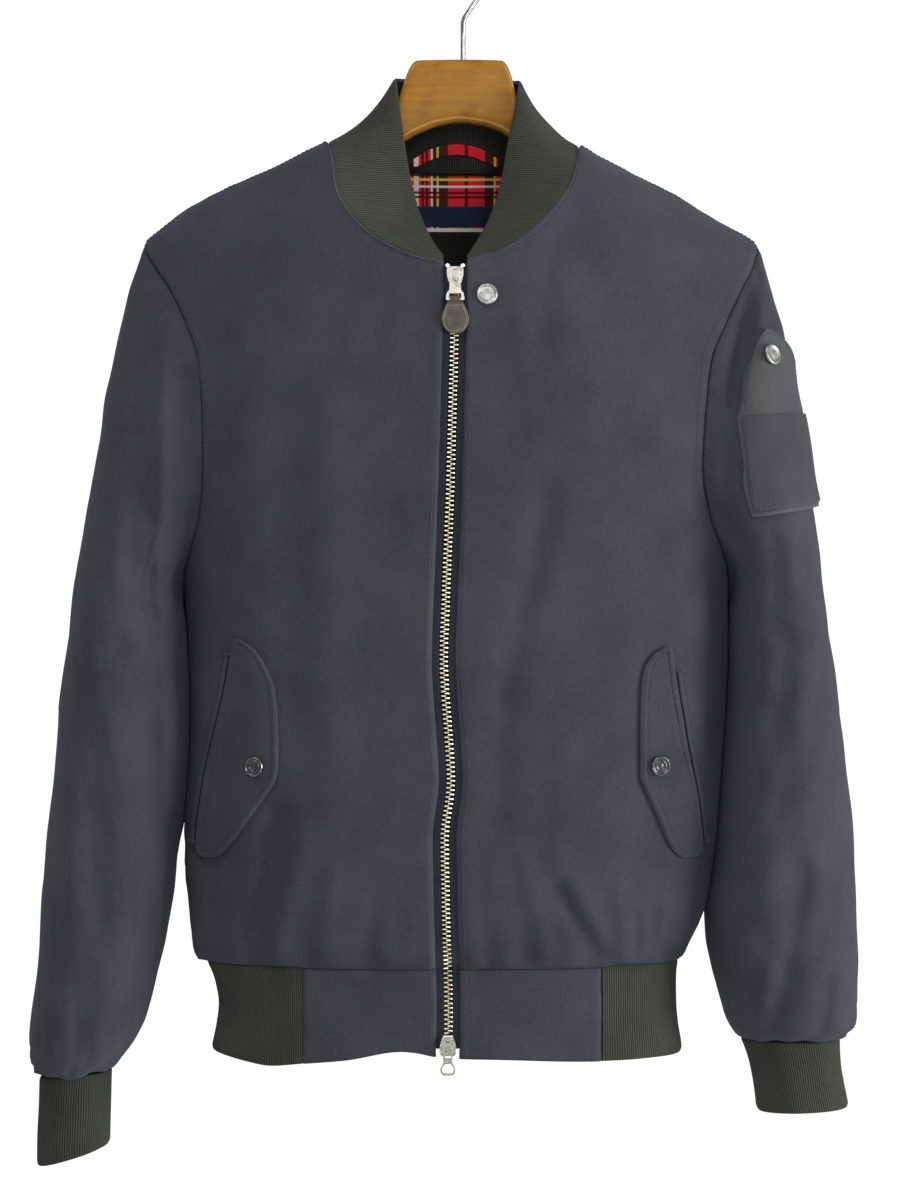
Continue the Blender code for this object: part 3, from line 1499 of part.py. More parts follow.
def make_zip_metal():
    for name, height, flip in (("top", TOP_SLIDER, 1.0), ("bottom", BOTTOM_SLIDER, -1.0)):
        frame = zip_frame(height)
        slider = add_object("zip_slider_" + name, slider_shape(flip), "zip_metal")
        place(slider, frame)
        bail = add_object("bail_guide_" + name, bail_shape(), "zip_metal")
        place(bail, frame)
        union(slider, bail)
        hinge = frame @ Matrix.Translation((0.0, -HINGE_OUT, -HINGE_DOWN))
        rows = TOP_PULL_ROWS if name == "top" else BOTTOM_PULL_ROWS
        openings = TOP_PULL_OPENINGS if name == "top" else BOTTOM_PULL_OPENINGS
        pull = add_object("zip_pull_" + name, frame_plate(rows, openings, PULL_HALF_THICK), "zip_metal")
        place(pull, hinge)
        if name == "top":
            tag = add_object("zip_tag", tag_shape(), "leather")
            place(tag, hinge @ Matrix.Translation((0.0, 0.0, TAG_HINGE)))
    for hand, out in (("left", -1.0), ("right", 1.0)):
        height = TAPE_TOP - STOP_DOWN
        x = read(ZIP, "height", "x", height) + out * STOP_OUT
        stop = turned_shape(STOP_PROFILE, 8)
        centre = front_out(x, height, -TAPE_DEPTH + STOP_FRONT)
        bmesh.ops.transform(stop, matrix=Matrix.Translation(centre), verts=stop.verts)
        add_object("zip_stop_" + hand, stop, "zip_metal")


# ---------------------------------------------------------------- the hanger
def make_wood():
    sides = 14
    points, faces = [], []
    for row in WOOD:
        top = row["top"]
        if not NECK["left"][-1]["x"] < row["x"] < NECK["right"][-1]["x"]:
            top = min(top, shoulder_height(row["x"]) - CLOTH - HANGER_GAP)
        centre, half = (top + row["bottom"]) / 2.0, (top - row["bottom"]) / 2.0
        for i in range(sides):
            angle = 2.0 * math.pi * (i + 0.5) / sides
            y = row["y"] + row["half_depth"] * signed_power(math.cos(angle), row["corner"])
            height = centre + half * signed_power(math.sin(angle), row["corner"])
            points.append(Vector((row["x"], y, height)))
    for r in range(len(WOOD) - 1):
        for i in range(sides):
            n = (i + 1) % sides
            a, b = r * sides + i, r * sides + n
            faces.append((a, b, b + sides, a + sides))
    last = (len(WOOD) - 1) * sides
    faces.append(tuple(range(sides)))
    faces.append(tuple(last + i for i in reversed(range(sides))))
    wood = add_object("hanger_wood", bmesh_from(points, faces), "wood")
    bpy.ops.mesh.primitive_cylinder_add(
        vertices=12,
        radius=(HOOK_WIRE / 2.0 + SEAM) * MM,
        depth=2.0 * STEM_BORE * MM,
        location=(0.0, STEM_BACK * MM, BLOCK_TOP * MM),
    )
    bore = bpy.context.object
    bore.name = "stem_bore_guide"
    bore.hide_render = True
    bore.display_type = "WIRE"
    cut = wood.modifiers.new("stem bore", "BOOLEAN")
    cut.operation = "DIFFERENCE"
    cut.solver = "EXACT"
    cut.object = bore


def make_hook():
    """Straight stem that leans to the right and turns over the top to the left."""
    radius = HOOK_RADIUS + HOOK_WIRE / 2.0
    centre = -HOOK_RADIUS
    drop = centre - STEM_BEND
    lean = math.asin(radius / drop)
    path = [Vector((0.0, STEM_BACK, BLOCK_TOP - STEM_IN)), Vector((0.0, STEM_BACK, STEM_BEND - 8.0))]
    start = -lean
    tangent = Vector((radius * math.cos(start), 0.0, centre + radius * math.sin(start)))
    bend = Vector((0.0, 0.0, STEM_BEND))
    path += [bend + (tangent - bend) * share for share in (0.06, 0.3, 0.7)]
    for angle in spread(start, math.radians(HOOK_END), 18):
        path.append(Vector((radius * math.cos(angle), 0.0, centre + radius * math.sin(angle))))
    curve = bpy.data.curves.new("hanger_hook", "CURVE")
    curve.dimensions = "3D"
    curve.bevel_depth = HOOK_WIRE / 2.0 * MM
    curve.bevel_resolution = 2
    curve.use_fill_caps = True
    spline = curve.splines.new("POLY")
    spline.points.add(len(path) - 1)
    for knot, point in zip(spline.points, path):
        knot.co = (*(point * MM), 1.0)
    curve.materials.append(finish_material("hanger_hook", "chrome"))
    bpy.context.scene.collection.objects.link(bpy.data.objects.new("hanger_hook", curve))


def main():
    clear_scene()
    surfaces, fronts = make_shell()
    make_hem()
    make_pockets(surfaces)
    make_neck_snap(surfaces)
    make_sleeve_tab()
    make_neck_inside(surfaces)
    make_zip_tapes(fronts)
    make_zip_metal()
    make_wood()
    make_hook()


main()
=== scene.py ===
# Wool bomber jacket on a wooden hanger: the looks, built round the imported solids.
# Tables are in millimetres, as the source's are; meshes are made in metres.
import bpy
import bmesh
import json
import math
import numpy as np
from mathutils import Matrix, Vector
from mathutils.bvhtree import BVHTree


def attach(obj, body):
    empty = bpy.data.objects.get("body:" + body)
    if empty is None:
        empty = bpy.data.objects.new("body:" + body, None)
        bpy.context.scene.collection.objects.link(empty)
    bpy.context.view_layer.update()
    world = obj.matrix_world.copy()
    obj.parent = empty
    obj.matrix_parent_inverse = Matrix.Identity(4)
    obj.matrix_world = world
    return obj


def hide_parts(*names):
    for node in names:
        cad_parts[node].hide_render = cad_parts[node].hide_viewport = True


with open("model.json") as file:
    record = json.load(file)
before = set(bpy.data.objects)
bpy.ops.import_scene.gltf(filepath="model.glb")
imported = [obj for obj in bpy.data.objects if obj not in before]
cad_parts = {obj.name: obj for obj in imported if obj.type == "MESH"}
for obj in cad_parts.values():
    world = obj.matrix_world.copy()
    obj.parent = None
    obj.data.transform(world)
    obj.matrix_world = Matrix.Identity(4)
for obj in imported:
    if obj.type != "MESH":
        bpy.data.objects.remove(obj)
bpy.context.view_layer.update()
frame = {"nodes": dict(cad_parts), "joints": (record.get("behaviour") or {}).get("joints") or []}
print("stage: solids loaded")

mm = 0.001
seamGap = 0.35
forward = (0, -1, 0)                # the way that the jacket's front faces
draw = np.random.default_rng(7)     # one seeded source for every small irregularity


def table(columns, *rows):
    return {name: np.array(part, float) for name, part in zip(columns.split(), zip(*rows))}


# the jacket's outline, seen from the front, and its depth
body = {
    "squareness": 2.5, "shoulderRoll": 190.0, "hemSeam": -716.0, "armpit": -461.0, "tip": -218.0,
    "placket": 8.0, "cloth": 2.0,
    "outline": table(
        "height left right front back",
        (-795, -178, 152, 72, 70), (-778, -176, 152.5, 74, 72), (-759, -172.5, 150.2, 72, 70),
        (-745, -170.8, 149.1, 71, 69), (-731, -172.9, 148.8, 70, 68), (-722, -176, 149, 70, 68),
        (-716, -179.5, 150.5, 71, 69), (-711, -184.5, 153, 75, 73), (-703, -188.5, 157.5, 79, 77),
        (-690, -190.5, 165.5, 82, 80), (-675, -191.5, 170.5, 84, 82), (-647, -194.6, 175, 85, 83),
        (-618, -194.8, 178.3, 86, 84), (-581, -192, 180.5, 87, 85), (-537, -190.5, 184, 88, 86),
        (-500, -192, 185.2, 89, 87), (-461, -194.6, 184.8, 90, 88), (-430, -197, 187.5, 90, 88),
        (-380, -203, 192.5, 90, 88), (-300, -214, 203, 88, 86), (-216, -228, 216, 84, 80),
        (-110, -232, 220, 78, 72)),
    "shoulder": table(
        "x height",
        (-229, -226), (-222.6, -217), (-212, -206.5), (-191, -191), (-160, -175.5),
        (-128, -161), (-94.5, -145), (-60, -127), (-5, -116), (48, -127),
        (81, -148), (106, -160.5), (148, -182.5), (190, -206.5), (201, -213.5),
        (207, -219), (214, -234)),
    "armhole": table(
        "height left right backOut",
        (-461, -194.6, 184.8, 0), (-447, -193.6, 183.8, 0.5), (-430, -188.5, 178.5, 2),
        (-410, -182, 170, 4), (-375, -178.5, 164, 7), (-338, -179, 166, 8),
        (-299, -182.5, 171, 8), (-275, -191, 181, 6), (-250, -203.5, 193, 3),
        (-232, -216, 202.5, 1), (-218, -223, 206, 0), (-110, -223, 206, 0)),
    "zip": table(
        "height x",
        (-795, -11.5), (-748, -10.2), (-667, -12.1), (-627, -12.8), (-586, -8.6), (-559, -10.1),
        (-505, -13.4), (-465, -12.1), (-398, -9.4), (-330, -7.4), (-256, -5.7), (-220, -5.5)),
}

# neck seam from the zip (0) to the neck point (1), and the collar's free edge above it
neck = {
    "left": table(
        "along x height topX topY topHeight",
        (0.00, -13.5, -234.5, -13.8, -63, -229), (0.12, -30.5, -231, -22, -56, -217),
        (0.25, -46.7, -224.3, -29.5, -44, -199), (0.40, -63.3, -213.7, -35.5, -31, -175),
        (0.53, -75.3, -201.6, -39.5, -23, -153), (0.72, -86.9, -181, -43, -14.5, -128),
        (0.90, -90.8, -156, -46, -7.5, -107.5), (1.00, -94.5, -145, -47.5, -1, -99.5)),
    "right": table(
        "along x height topX topY topHeight",
        (0.00, 2.5, -234, 2.8, -63, -229.5), (0.12, 14, -230.5, 9.5, -56, -218),
        (0.25, 26.4, -225.2, 17, -46, -203.5), (0.43, 45.8, -212.5, 24.5, -32, -180),
        (0.57, 61.2, -196.5, 28.5, -24, -158), (0.70, 71.5, -181.3, 32.5, -17.5, -138),
        (0.86, 77.8, -163.4, 37.5, -10, -114), (1.00, 81, -148, 40, -1, -101)),
    "frontShare": 9.0, "shoulderShare": 6.0, "backShare": 14.0, "backDip": 4.0,
    "steps": np.array((0.0, 0.08, 0.17, 0.27, 0.38, 0.50, 0.62, 0.74, 0.87, 1.0)),
}
collar = {"thick": 3.2, "backReach": 35.0, "backRise": 4.0, "hollow": 6.0, "rows": 26, "step": 2.4}

# sleeve sections: inner and outer edge seen from the front, reach to front and back
sleeve = {
    "squareness": 2.3, "level": -540.0, "underarmEase": 1.5,
    "meet": {"left": (-650.0, 3.2), "right": (-715.0, -3.2)},     # under the arm the sleeve lies against the body
    "cuffSeam": {"left": -794.5, "right": -770.5}, "cuffEnd": {"left": -852.0, "right": -819.5},
    "left": table(
        "height inner outer front back slant",
        (-861, -247.5, -298, 36, 38, 0.30), (-838, -247.2, -297.5, 36, 38, 0.24),
        (-815, -246.5, -296.5, 35, 37, 0.14), (-796, -246, -295.6, 35, 37, 0.08),
        (-794.5, -245.7, -295.5, 36, 38, 0.08), (-791, -242.5, -298, 44, 46, 0.07),
        (-785, -238, -300.6, 51, 53, 0.05), (-773, -229.5, -301.6, 59, 61, 0.03),
        (-759, -223, -301, 64, 66, 0.00), (-731, -215.6, -299, 69, 71, 0.00),
        (-703, -208.5, -296, 71, 74, 0.00), (-675, -204, -293.5, 72, 76, 0.00),
        (-647, -200.5, -291, 73, 78, 0.00), (-618, -197.6, -288.6, 74, 79, 0.00),
        (-581, -194.6, -285.3, 75, 80, 0.00), (-537, -192.6, -280.5, 76, 81, 0.00),
        (-500, -194.4, -276, 76, 81, 0.00), (-480, -195.6, -273.6, 76, 81, 0.00),
        (-461, -197.2, -271.2, 75, 80, 0.00), (-430, -184, -266, 74, 78, 0.00),
        (-380, -150, -258, 71, 75, 0.00), (-325, -138, -249.2, 65, 69, 0.00),
        (-283, -142, -240.8, 55, 57, 0.00), (-255, -150, -233.8, 43, 44, 0.00),
        (-232, -160, -227.2, 24, 24, 0.00), (-218, -166, -223.4, 3, 3, 0.00)),
    "right": table(
        "height inner outer front back slant",
        (-835, 206.5, 271.5, 36, 38, -0.08), (-819, 205.5, 269.5, 36, 38, -0.05),
        (-803, 203.5, 266.5, 36, 38, -0.02), (-787, 200.2, 264, 36, 38, 0.00),
        (-774, 195.5, 263.3, 36, 38, 0.00), (-770.5, 194, 263.6, 37, 39, 0.00),
        (-767, 190.5, 268, 45, 47, 0.00), (-759, 185, 272.8, 54, 56, 0.00),
        (-745, 180.6, 275.3, 63, 65, 0.00), (-717, 173.4, 276.4, 69, 71, 0.00),
        (-703, 171.6, 275.8, 71, 74, 0.00), (-675, 172.2, 274.4, 72, 76, 0.00),
        (-647, 176.6, 272.8, 73, 78, 0.00), (-618, 179.9, 271.2, 74, 79, 0.00),
        (-581, 182.2, 267, 75, 80, 0.00), (-537, 185.8, 261.3, 76, 81, 0.00),
        (-500, 187.4, 256.2, 76, 81, 0.00), (-480, 187.6, 253.6, 76, 81, 0.00),
        (-461, 187.8, 251, 75, 80, 0.00), (-430, 175, 247.2, 74, 78, 0.00),
        (-380, 140, 239.6, 71, 75, 0.00), (-325, 126, 230.6, 65, 69, 0.00),
        (-283, 128, 223.3, 55, 57, 0.00), (-255, 134, 217.7, 43, 44, 0.00),
        (-232, 146, 211.2, 24, 24, 0.00), (-218, 152, 206.4, 3, 3, 0.00)),
}

# main creases of the solids: depth is outward, width is the half width
creaseColumns = "x1 height1 x2 height2 depth width"
mainCreases = {
    "front": table(
        creaseColumns,
        (-126, -612, -145, -700, -6, 9), (-108, -622, -128, -700, 2.5, 9),
        (-81, -704, -104, -712, -2.5, 6), (63, -660, 90, -705, -4.5, 7),
        (76, -662, 100, -708, 3, 8), (117, -683, 117, -705, -2.5, 5),
        (129.5, -677, 129, -702, -2.5, 5), (60, -225, 52, -290, -2, 10),
        (56, -394, 27, -530, -4, 11), (27, -530, 22, -610, -3, 11),
        (-120, -330, -114, -560, -2.5, 15), (-92, -340, -90, -620, 2, 15),
        (132, -420, 124, -620, -2.5, 14), (-189, -235, -166, -340, -3, 12),
        (168, -235, 148, -345, -2.5, 14)),
    "back": table(
        creaseColumns,
        (-118, -330, -100, -600, -5, 18), (112, -330, 92, -580, -4.5, 18),
        (-60, -400, -52, -690, 3, 20), (30, -430, 40, -700, -3, 18),
        (-140, -610, -110, -706, -4.5, 9), (128, -620, 98, -706, -4.5, 9),
        (-30, -670, -36, -708, -2.5, 7), (60, -665, 66, -708, -2.5, 7)),
    "sleeve": table(
        creaseColumns,
        (-212, -262, -212, -410, -4.5, 10), (-226, -300, -222, -420, 2, 9),
        (-212, -480, -216, -610, -5, 13), (-262, -560, -255, -700, -2.5, 14),
        (-237, -748, -239, -782, -4, 6), (-262, -752, -266, -786, -2.5, 6),
        (213.5, -756, 232, -650, -5, 9), (246, -757, 250, -725, -3, 6),
        (190.5, -300, 204, -240, -4, 9), (214, -470, 210, -600, -4, 13)),
}
# smaller ones that only the looks carry
fineCreases = {
    "front": table(
        creaseColumns,
        (-136, -640, -152, -706, 1.6, 5), (-60, -668, -66, -712, -1.3, 5),
        (-34, -676, -37, -712, 1, 5), (-88, -650, -98, -712, 1.2, 6),
        (12, -660, 16, -712, -1, 5), (40, -640, 56, -706, 1.3, 6),
        (104, -655, 110, -700, 1.3, 5), (140, -640, 139, -700, 1.2, 5),
        (-160, -560, -178, -690, -1.5, 7), (-40, -300, -30, -430, 1, 16),
        (-70, -235, -110, -330, -1.3, 12), (66, -232, 94, -330, 1.2, 12),
        (34, -250, 44, -330, 1.2, 8), (-172, -430, -120, -480, -1.6, 9),
        (-176, -455, -140, -520, 1.4, 8), (160, -440, 118, -486, -1.6, 9),
        (168, -470, 150, -540, 1.3, 8), (70, -560, 64, -650, 1.2, 9)),
    "back": table(
        creaseColumns,
        (-170, -440, -110, -500, -2, 9), (160, -450, 104, -505, -2, 9),
        (-90, -640, -84, -708, 1.6, 6), (10, -650, 6, -708, 1.4, 6),
        (100, -500, 110, -640, 1.6, 10), (-20, -240, -26, -420, -1.5, 22),
        (-150, -240, -128, -340, -1.5, 12), (140, -240, 122, -340, -1.5, 12)),
    "sleeve": table(
        creaseColumns,
        (-228, -238, -222, -470, -6.5, 10), (-208, -236, -204, -470, 4.6, 6.5),
        (-188, -312, -188, -452, -5.5, 7),
        (-211, -450, -209, -625, -6, 9), (-203, -450, -199, -640, 2.6, 8),
        (-276, -480, -262, -700, 3, 12), (-252, -520, -246, -700, -2.4, 10),
        (184, -330, 202, -240, -3.4, 6), (194, -325, 209, -246, 2.6, 6),
        (205, -460, 207, -670, 2.2, 11), (246, -450, 249, -700, -2, 11),
        (-243, -330, -240, -470, -1.4, 9), (-200, -470, -236, -500, -1.8, 7),
        (-198, -500, -240, -545, 1.6, 8), (-203, -640, -240, -690, 1.5, 9),
        (-225, -700, -240, -745, 1.8, 7), (-280, -735, -284, -785, 1.5, 5),
        (-250, -762, -252, -790, 1.4, 4), (-274, -600, -270, -740, 1.3, 9),
        (196, -470, 232, -505, -1.7, 7), (192, -505, 238, -560, 1.6, 8),
        (190, -680, 224, -720, -1.6, 7), (200, -735, 222, -764, 1.5, 5),
        (236, -640, 262, -740, 1.5, 8), (262, -700, 262, -762, -1.4, 5),
        (224, -420, 228, -560, 1.3, 10)),
}


def read(rows, along, column, at):
    # one column of a table at any place along it, by monotone cubic pieces
    knots, values = rows[along], rows[column]
    at = np.clip(np.asarray(at, float), knots[0], knots[-1])
    slopes = np.diff(values) / np.diff(knots)
    product = slopes[:-1] * slopes[1:]
    total = slopes[:-1] + slopes[1:]
    inner = np.where(product > 0.0, 2.0 * product / np.where(total == 0.0, 1.0, total), 0.0)
    tangents = np.concatenate([slopes[:1], inner, slopes[-1:]])
    low = np.clip(np.searchsorted(knots, at, side="right") - 1, 0, len(knots) - 2)
    span = knots[low + 1] - knots[low]
    t = (at - knots[low]) / span
    return (values[low] * (2 * t ** 3 - 3 * t ** 2 + 1) + tangents[low] * span * (t ** 3 - 2 * t ** 2 + t)
            + values[low + 1] * (3 * t ** 2 - 2 * t ** 3) + tangents[low + 1] * span * (t ** 3 - t ** 2))


def mix(start, end, t):
    return start + (end - start) * t


def smoothStep(t):
    t = np.clip(t, 0.0, 1.0)
    return t * t * (3.0 - 2.0 * t)


def signedPower(value, power):
    return np.sign(value) * np.abs(value) ** power


def creaseLift(rows, x, height):
    lift = np.zeros(np.broadcast(x, height).shape)
    for x1, h1, x2, h2, depth, width in zip(*rows.values()):
        runX, runH = x2 - x1, h2 - h1
        t = np.clip(((x - x1) * runX + (height - h1) * runH) / (runX ** 2 + runH ** 2), 0.0, 1.0)
        off = np.hypot(x - x1 - t * runX, height - h1 - t * runH)
        lift += depth * np.exp(-(off / width) ** 2)
    return lift


def ripple(u, v, wave, count, seed):
    # soft uneven swell of about unit height: a few sine waves in seeded directions
    pick = np.random.default_rng(seed)
    total = 0.0
    for _ in range(count):
        angle, phase = pick.uniform(0.0, math.pi), pick.uniform(0.0, 2.0 * math.pi)
        length = wave * pick.uniform(0.7, 1.5)
        total = total + np.sin((u * math.cos(angle) + v * math.sin(angle)) * 2.0 * math.pi / length + phase)
    return total / math.sqrt(count)


# shape of the body
def shoulderHeight(x):
    return read(body["shoulder"], "x", "height", x)


def bodyWidth(height):
    left = read(body["outline"], "height", "left", height)
    right = read(body["outline"], "height", "right", height)
    return (left + right) / 2.0, (right - left) / 2.0


def bodyTurn(height, x):
    centre, half = bodyWidth(height)
    across = np.clip((x - centre) / half, -1.0, 1.0)
    return np.arcsin(signedPower(across, body["squareness"] / 2.0))


def bodyPoint(face, height, turn):
    centre, half = bodyWidth(height)
    x = centre + half * signedPower(np.sin(turn), 2.0 / body["squareness"])
    drop = np.clip((shoulderHeight(x) - height) / body["shoulderRoll"], 0.0, 1.0)
    roll = np.sqrt(np.maximum(1.0 - (1.0 - drop) ** 2, 0.0))
    flat = np.maximum(np.cos(turn), 0.0) ** (2.0 / body["squareness"])
    depth = read(body["outline"], "height", face, height) * flat * roll
    fade = smoothStep((height - body["hemSeam"]) / 12.0) * np.minimum(flat * roll * 1.6, 1.0)
    depth = depth + (creaseLift(mainCreases[face], x, height) + creaseLift(fineCreases[face], x, height)) * fade
    side = -1.0 if face == "front" else 1.0
    x, y, z = np.broadcast_arrays(x, side * (depth + seamGap / 2.0), height)
    return np.stack([x, y, z], -1)


def bodyAt(face, x, height):
    return bodyPoint(face, np.asarray(height, float), bodyTurn(height, x))


def bodyOut(face, x, height, outward):
    # a point of the plain body, moved along its normal
    x, height = np.broadcast_arrays(np.asarray(x, float), np.asarray(height, float))
    across = bodyAt(face, x + 2.0, height) - bodyAt(face, x - 2.0, height)
    up = bodyAt(face, x, height + 2.0) - bodyAt(face, x, height - 2.0)
    normal = np.cross(across, up)
    normal *= (1.0 if face == "front" else -1.0) / np.linalg.norm(normal, axis=-1, keepdims=True)
    return bodyAt(face, x, height) + normal * outward


def sideX(face, hand, height):
    x = read(body["armhole"], "height", hand, height)
    if face == "back":
        x = x + (-1.0 if hand == "left" else 1.0) * read(body["armhole"], "height", "backOut", height)
    return np.where(height <= body["armpit"], read(body["outline"], "height", hand, height), x)


def placketX(hand, height):
    return read(body["zip"], "height", "x", height) + (-1.0 if hand == "left" else 1.0) * body["placket"]


def shoulderTop(hand, share):
    # the shoulder seam from the neck point (0) to the tip (1)
    x = mix(neck[hand]["x"][-1], float(sideX("front", hand, np.float64(body["tip"]))), share)
    return x, shoulderHeight(x)


def frontTop(hand, at):
    # the top edge of a front, counted in the source's columns
    step = np.interp(at, np.arange(10.0), neck["steps"])
    x, height = shoulderTop(hand, np.clip((at - neck["frontShare"]) / neck["shoulderShare"], 0.0, 1.0))
    onNeck = at < neck["frontShare"]
    return (np.where(onNeck, read(neck[hand], "along", "x", step), x),
            np.where(onNeck, read(neck[hand], "along", "height", step), height))


def backTop(at):
    side, span = neck["shoulderShare"], neck["backShare"]
    leftX, leftH = shoulderTop("left", np.clip(1.0 - at / side, 0.0, 1.0))
    rightX, rightH = shoulderTop("right", np.clip((at - side - span) / side, 0.0, 1.0))
    angle = np.clip((at - side) / span, 0.0, 1.0) * math.pi - math.pi / 2.0
    startX, endX = neck["left"]["x"][-1], neck["right"]["x"][-1]
    neckX = (startX + endX) / 2.0 + (endX - startX) / 2.0 * np.sin(angle)
    neckH = mix(neck["left"]["height"][-1], neck["right"]["height"][-1], (np.sin(angle) + 1.0) / 2.0)
    neckH = neckH - neck["backDip"] * np.cos(angle)
    onLeft, onRight = at < side, at > side + span
    x = np.where(onLeft, leftX, np.where(onRight, rightX, neckX))
    return x, np.where(onLeft, leftH, np.where(onRight, rightH, neckH))


armpitShare = (body["armpit"] - body["hemSeam"]) / (body["tip"] - body["hemSeam"])


def panelGrid(face, topX, topHeight, innerX, outerX, rows):
    # rows upward from the hem seam, one column for each point along the top
    count = len(topX) - 1
    shares = np.concatenate([
        mix(0.0, 0.05, np.linspace(0, 1, 8)[:-1]),
        mix(0.05, armpitShare, np.linspace(0, 1, rows // 2)[:-1]),
        mix(armpitShare, 1.0, (1.0 - np.cos(np.linspace(0, math.pi, rows - rows // 2))) / 2.0)])
    share = shares[:, None]
    height = mix(body["hemSeam"], topHeight[None, :], share)
    low, high = bodyTurn(height, innerX(height)), bodyTurn(height, outerX(height))
    topLow, topHigh = bodyTurn(topHeight, innerX(topHeight)), bodyTurn(topHeight, outerX(topHeight))
    topShare = (bodyTurn(topHeight, topX) - topLow) / (topHigh - topLow)
    across = mix(np.linspace(0.0, 1.0, count + 1)[None, :], topShare[None, :], share ** 1.5)
    return bodyPoint(face, height, mix(low, high, across))


def frontGrid(hand, columns, rows):
    topX, topHeight = frontTop(hand, np.linspace(0.0, neck["frontShare"] + neck["shoulderShare"], columns + 1))
    return panelGrid("front", topX, topHeight, lambda h: placketX(hand, h), lambda h: sideX("front", hand, h), rows)


def backGrid(columns, rows):
    topX, topHeight = backTop(np.linspace(0.0, 2.0 * neck["shoulderShare"] + neck["backShare"], columns + 1))
    return panelGrid("back", topX, topHeight, lambda h: sideX("back", "left", h),
                     lambda h: sideX("back", "right", h), rows)


# shape of the sleeves
def sleeveRing(hand, height):
    inner = read(sleeve[hand], "height", "inner", height)
    outer = read(sleeve[hand], "height", "outer", height)
    low, reach = sleeve["meet"][hand]
    inner = inner + reach * smoothStep((height - low) / 45.0) * smoothStep((-440.0 - height) / 30.0)
    return (inner + outer) / 2.0, (outer - inner) / 2.0


def sleevePoint(hand, height, turn):
    # turn 0 is outermost, negative to the front, half a turn is innermost
    height, turn = np.broadcast_arrays(np.asarray(height, float), np.asarray(turn, float))
    centre, half = sleeveRing(hand, height)
    power = 2.0 / sleeve["squareness"]
    x = centre + half * signedPower(np.cos(turn), power)
    front = turn < 0.0
    reach = np.where(front, read(sleeve[hand], "height", "front", height), read(sleeve[hand], "height", "back", height))
    y = reach * signedPower(np.sin(turn), power)
    fade = smoothStep((height - sleeve["cuffSeam"][hand]) / 14.0) * np.abs(np.sin(turn))
    h = np.where(front, height, height + 18.0)
    lift = creaseLift(mainCreases["sleeve"], x, h) + creaseLift(fineCreases["sleeve"], x, h)
    y = y + np.where(front, -lift, 0.8 * lift) * fade
    slant = read(sleeve[hand], "height", "slant", height)
    return np.stack([x, y, height - slant * np.abs(x - centre) * np.sign(np.abs(x) - np.abs(centre))], -1)


def armholePoints(hand, at):
    # the armhole seam, counted 0 to 22: armpit, up the front, tip at 11, down the back
    def edge(face, count):
        share = mix(armpitShare, 1.0, (1.0 - np.cos(math.pi * count / 11.0)) / 2.0)
        topX = sideX("front", hand, np.float64(body["tip"]))
        height = mix(body["hemSeam"], shoulderHeight(topX), share)
        return bodyPoint(face, height, bodyTurn(height, sideX(face, hand, height)))

    front, back = edge("front", np.clip(at, 0.0, 11.0)), edge("back", np.clip(22.0 - at, 0.0, 11.0))
    points = np.where((at <= 11.0)[:, None], front, back)
    for end in (0.0, 11.0, 22.0):
        near = np.clip(1.0 - np.abs(at - end), 0.0, 1.0)[:, None] ** 2
        both = (edge("front", np.float64(min(end, 22.0 - end))) + edge("back", np.float64(min(end, 22.0 - end)))) / 2.0
        points[:, 1] = mix(points[:, 1], both[1], near[:, 0])
    return points


def sleeveGrid(hand, columns, step):
    at = np.linspace(0.0, 22.0, columns + 1)
    level = -math.pi + 2.0 * math.pi * at / 22.0
    seam = armholePoints(hand, at)
    centre, half = sleeveRing(hand, seam[:, 2])
    across = np.clip((seam[:, 0] - centre) / half, -1.0, 1.0)
    turn = np.arccos(signedPower(across, sleeve["squareness"] / 2.0))
    seamTurn = np.where(at < 11.0, -turn, turn)
    seamTurn[0], seamTurn[-1] = -math.pi, math.pi
    out = -1.0 if hand == "left" else 1.0
    share = np.concatenate([np.linspace(0.0, 0.06, 5)[:-1], np.linspace(0.06, 1.0, 60)])[:, None]
    height = mix(seam[None, :, 2], sleeve["level"], share)
    upperTurn = mix(seamTurn[None, :], level[None, :], smoothStep(share) * 0.6 + share * 0.4)
    upper = sleevePoint(hand, height, upperTurn)
    pull = 1.0 - smoothStep(share / 0.5)
    upper = upper + (seam - sleevePoint(hand, seam[:, 2], seamTurn))[None] * pull[..., None]
    under = smoothStep((-np.cos(seamTurn) - 0.2) / 0.6)[None, :]
    upper[..., 0] += out * (seamGap + sleeve["underarmEase"] * under * smoothStep(share / 0.12) * pull)
    end = sleeve["cuffSeam"][hand] + seamGap
    lower = np.concatenate([np.arange(sleeve["level"] - step, end + 9.0, -step), end + np.linspace(8.0, 0.0, 6)])
    return np.concatenate([upper, sleevePoint(hand, lower[:, None], level[None, :])])


def cuffGrid(hand, columns, rows):
    level = np.linspace(-math.pi, math.pi, columns + 1)
    heights = np.linspace(sleeve["cuffSeam"][hand] - seamGap / 2.0, sleeve["cuffEnd"][hand], rows + 1)
    return sleevePoint(hand, heights[:, None], level[None, :])


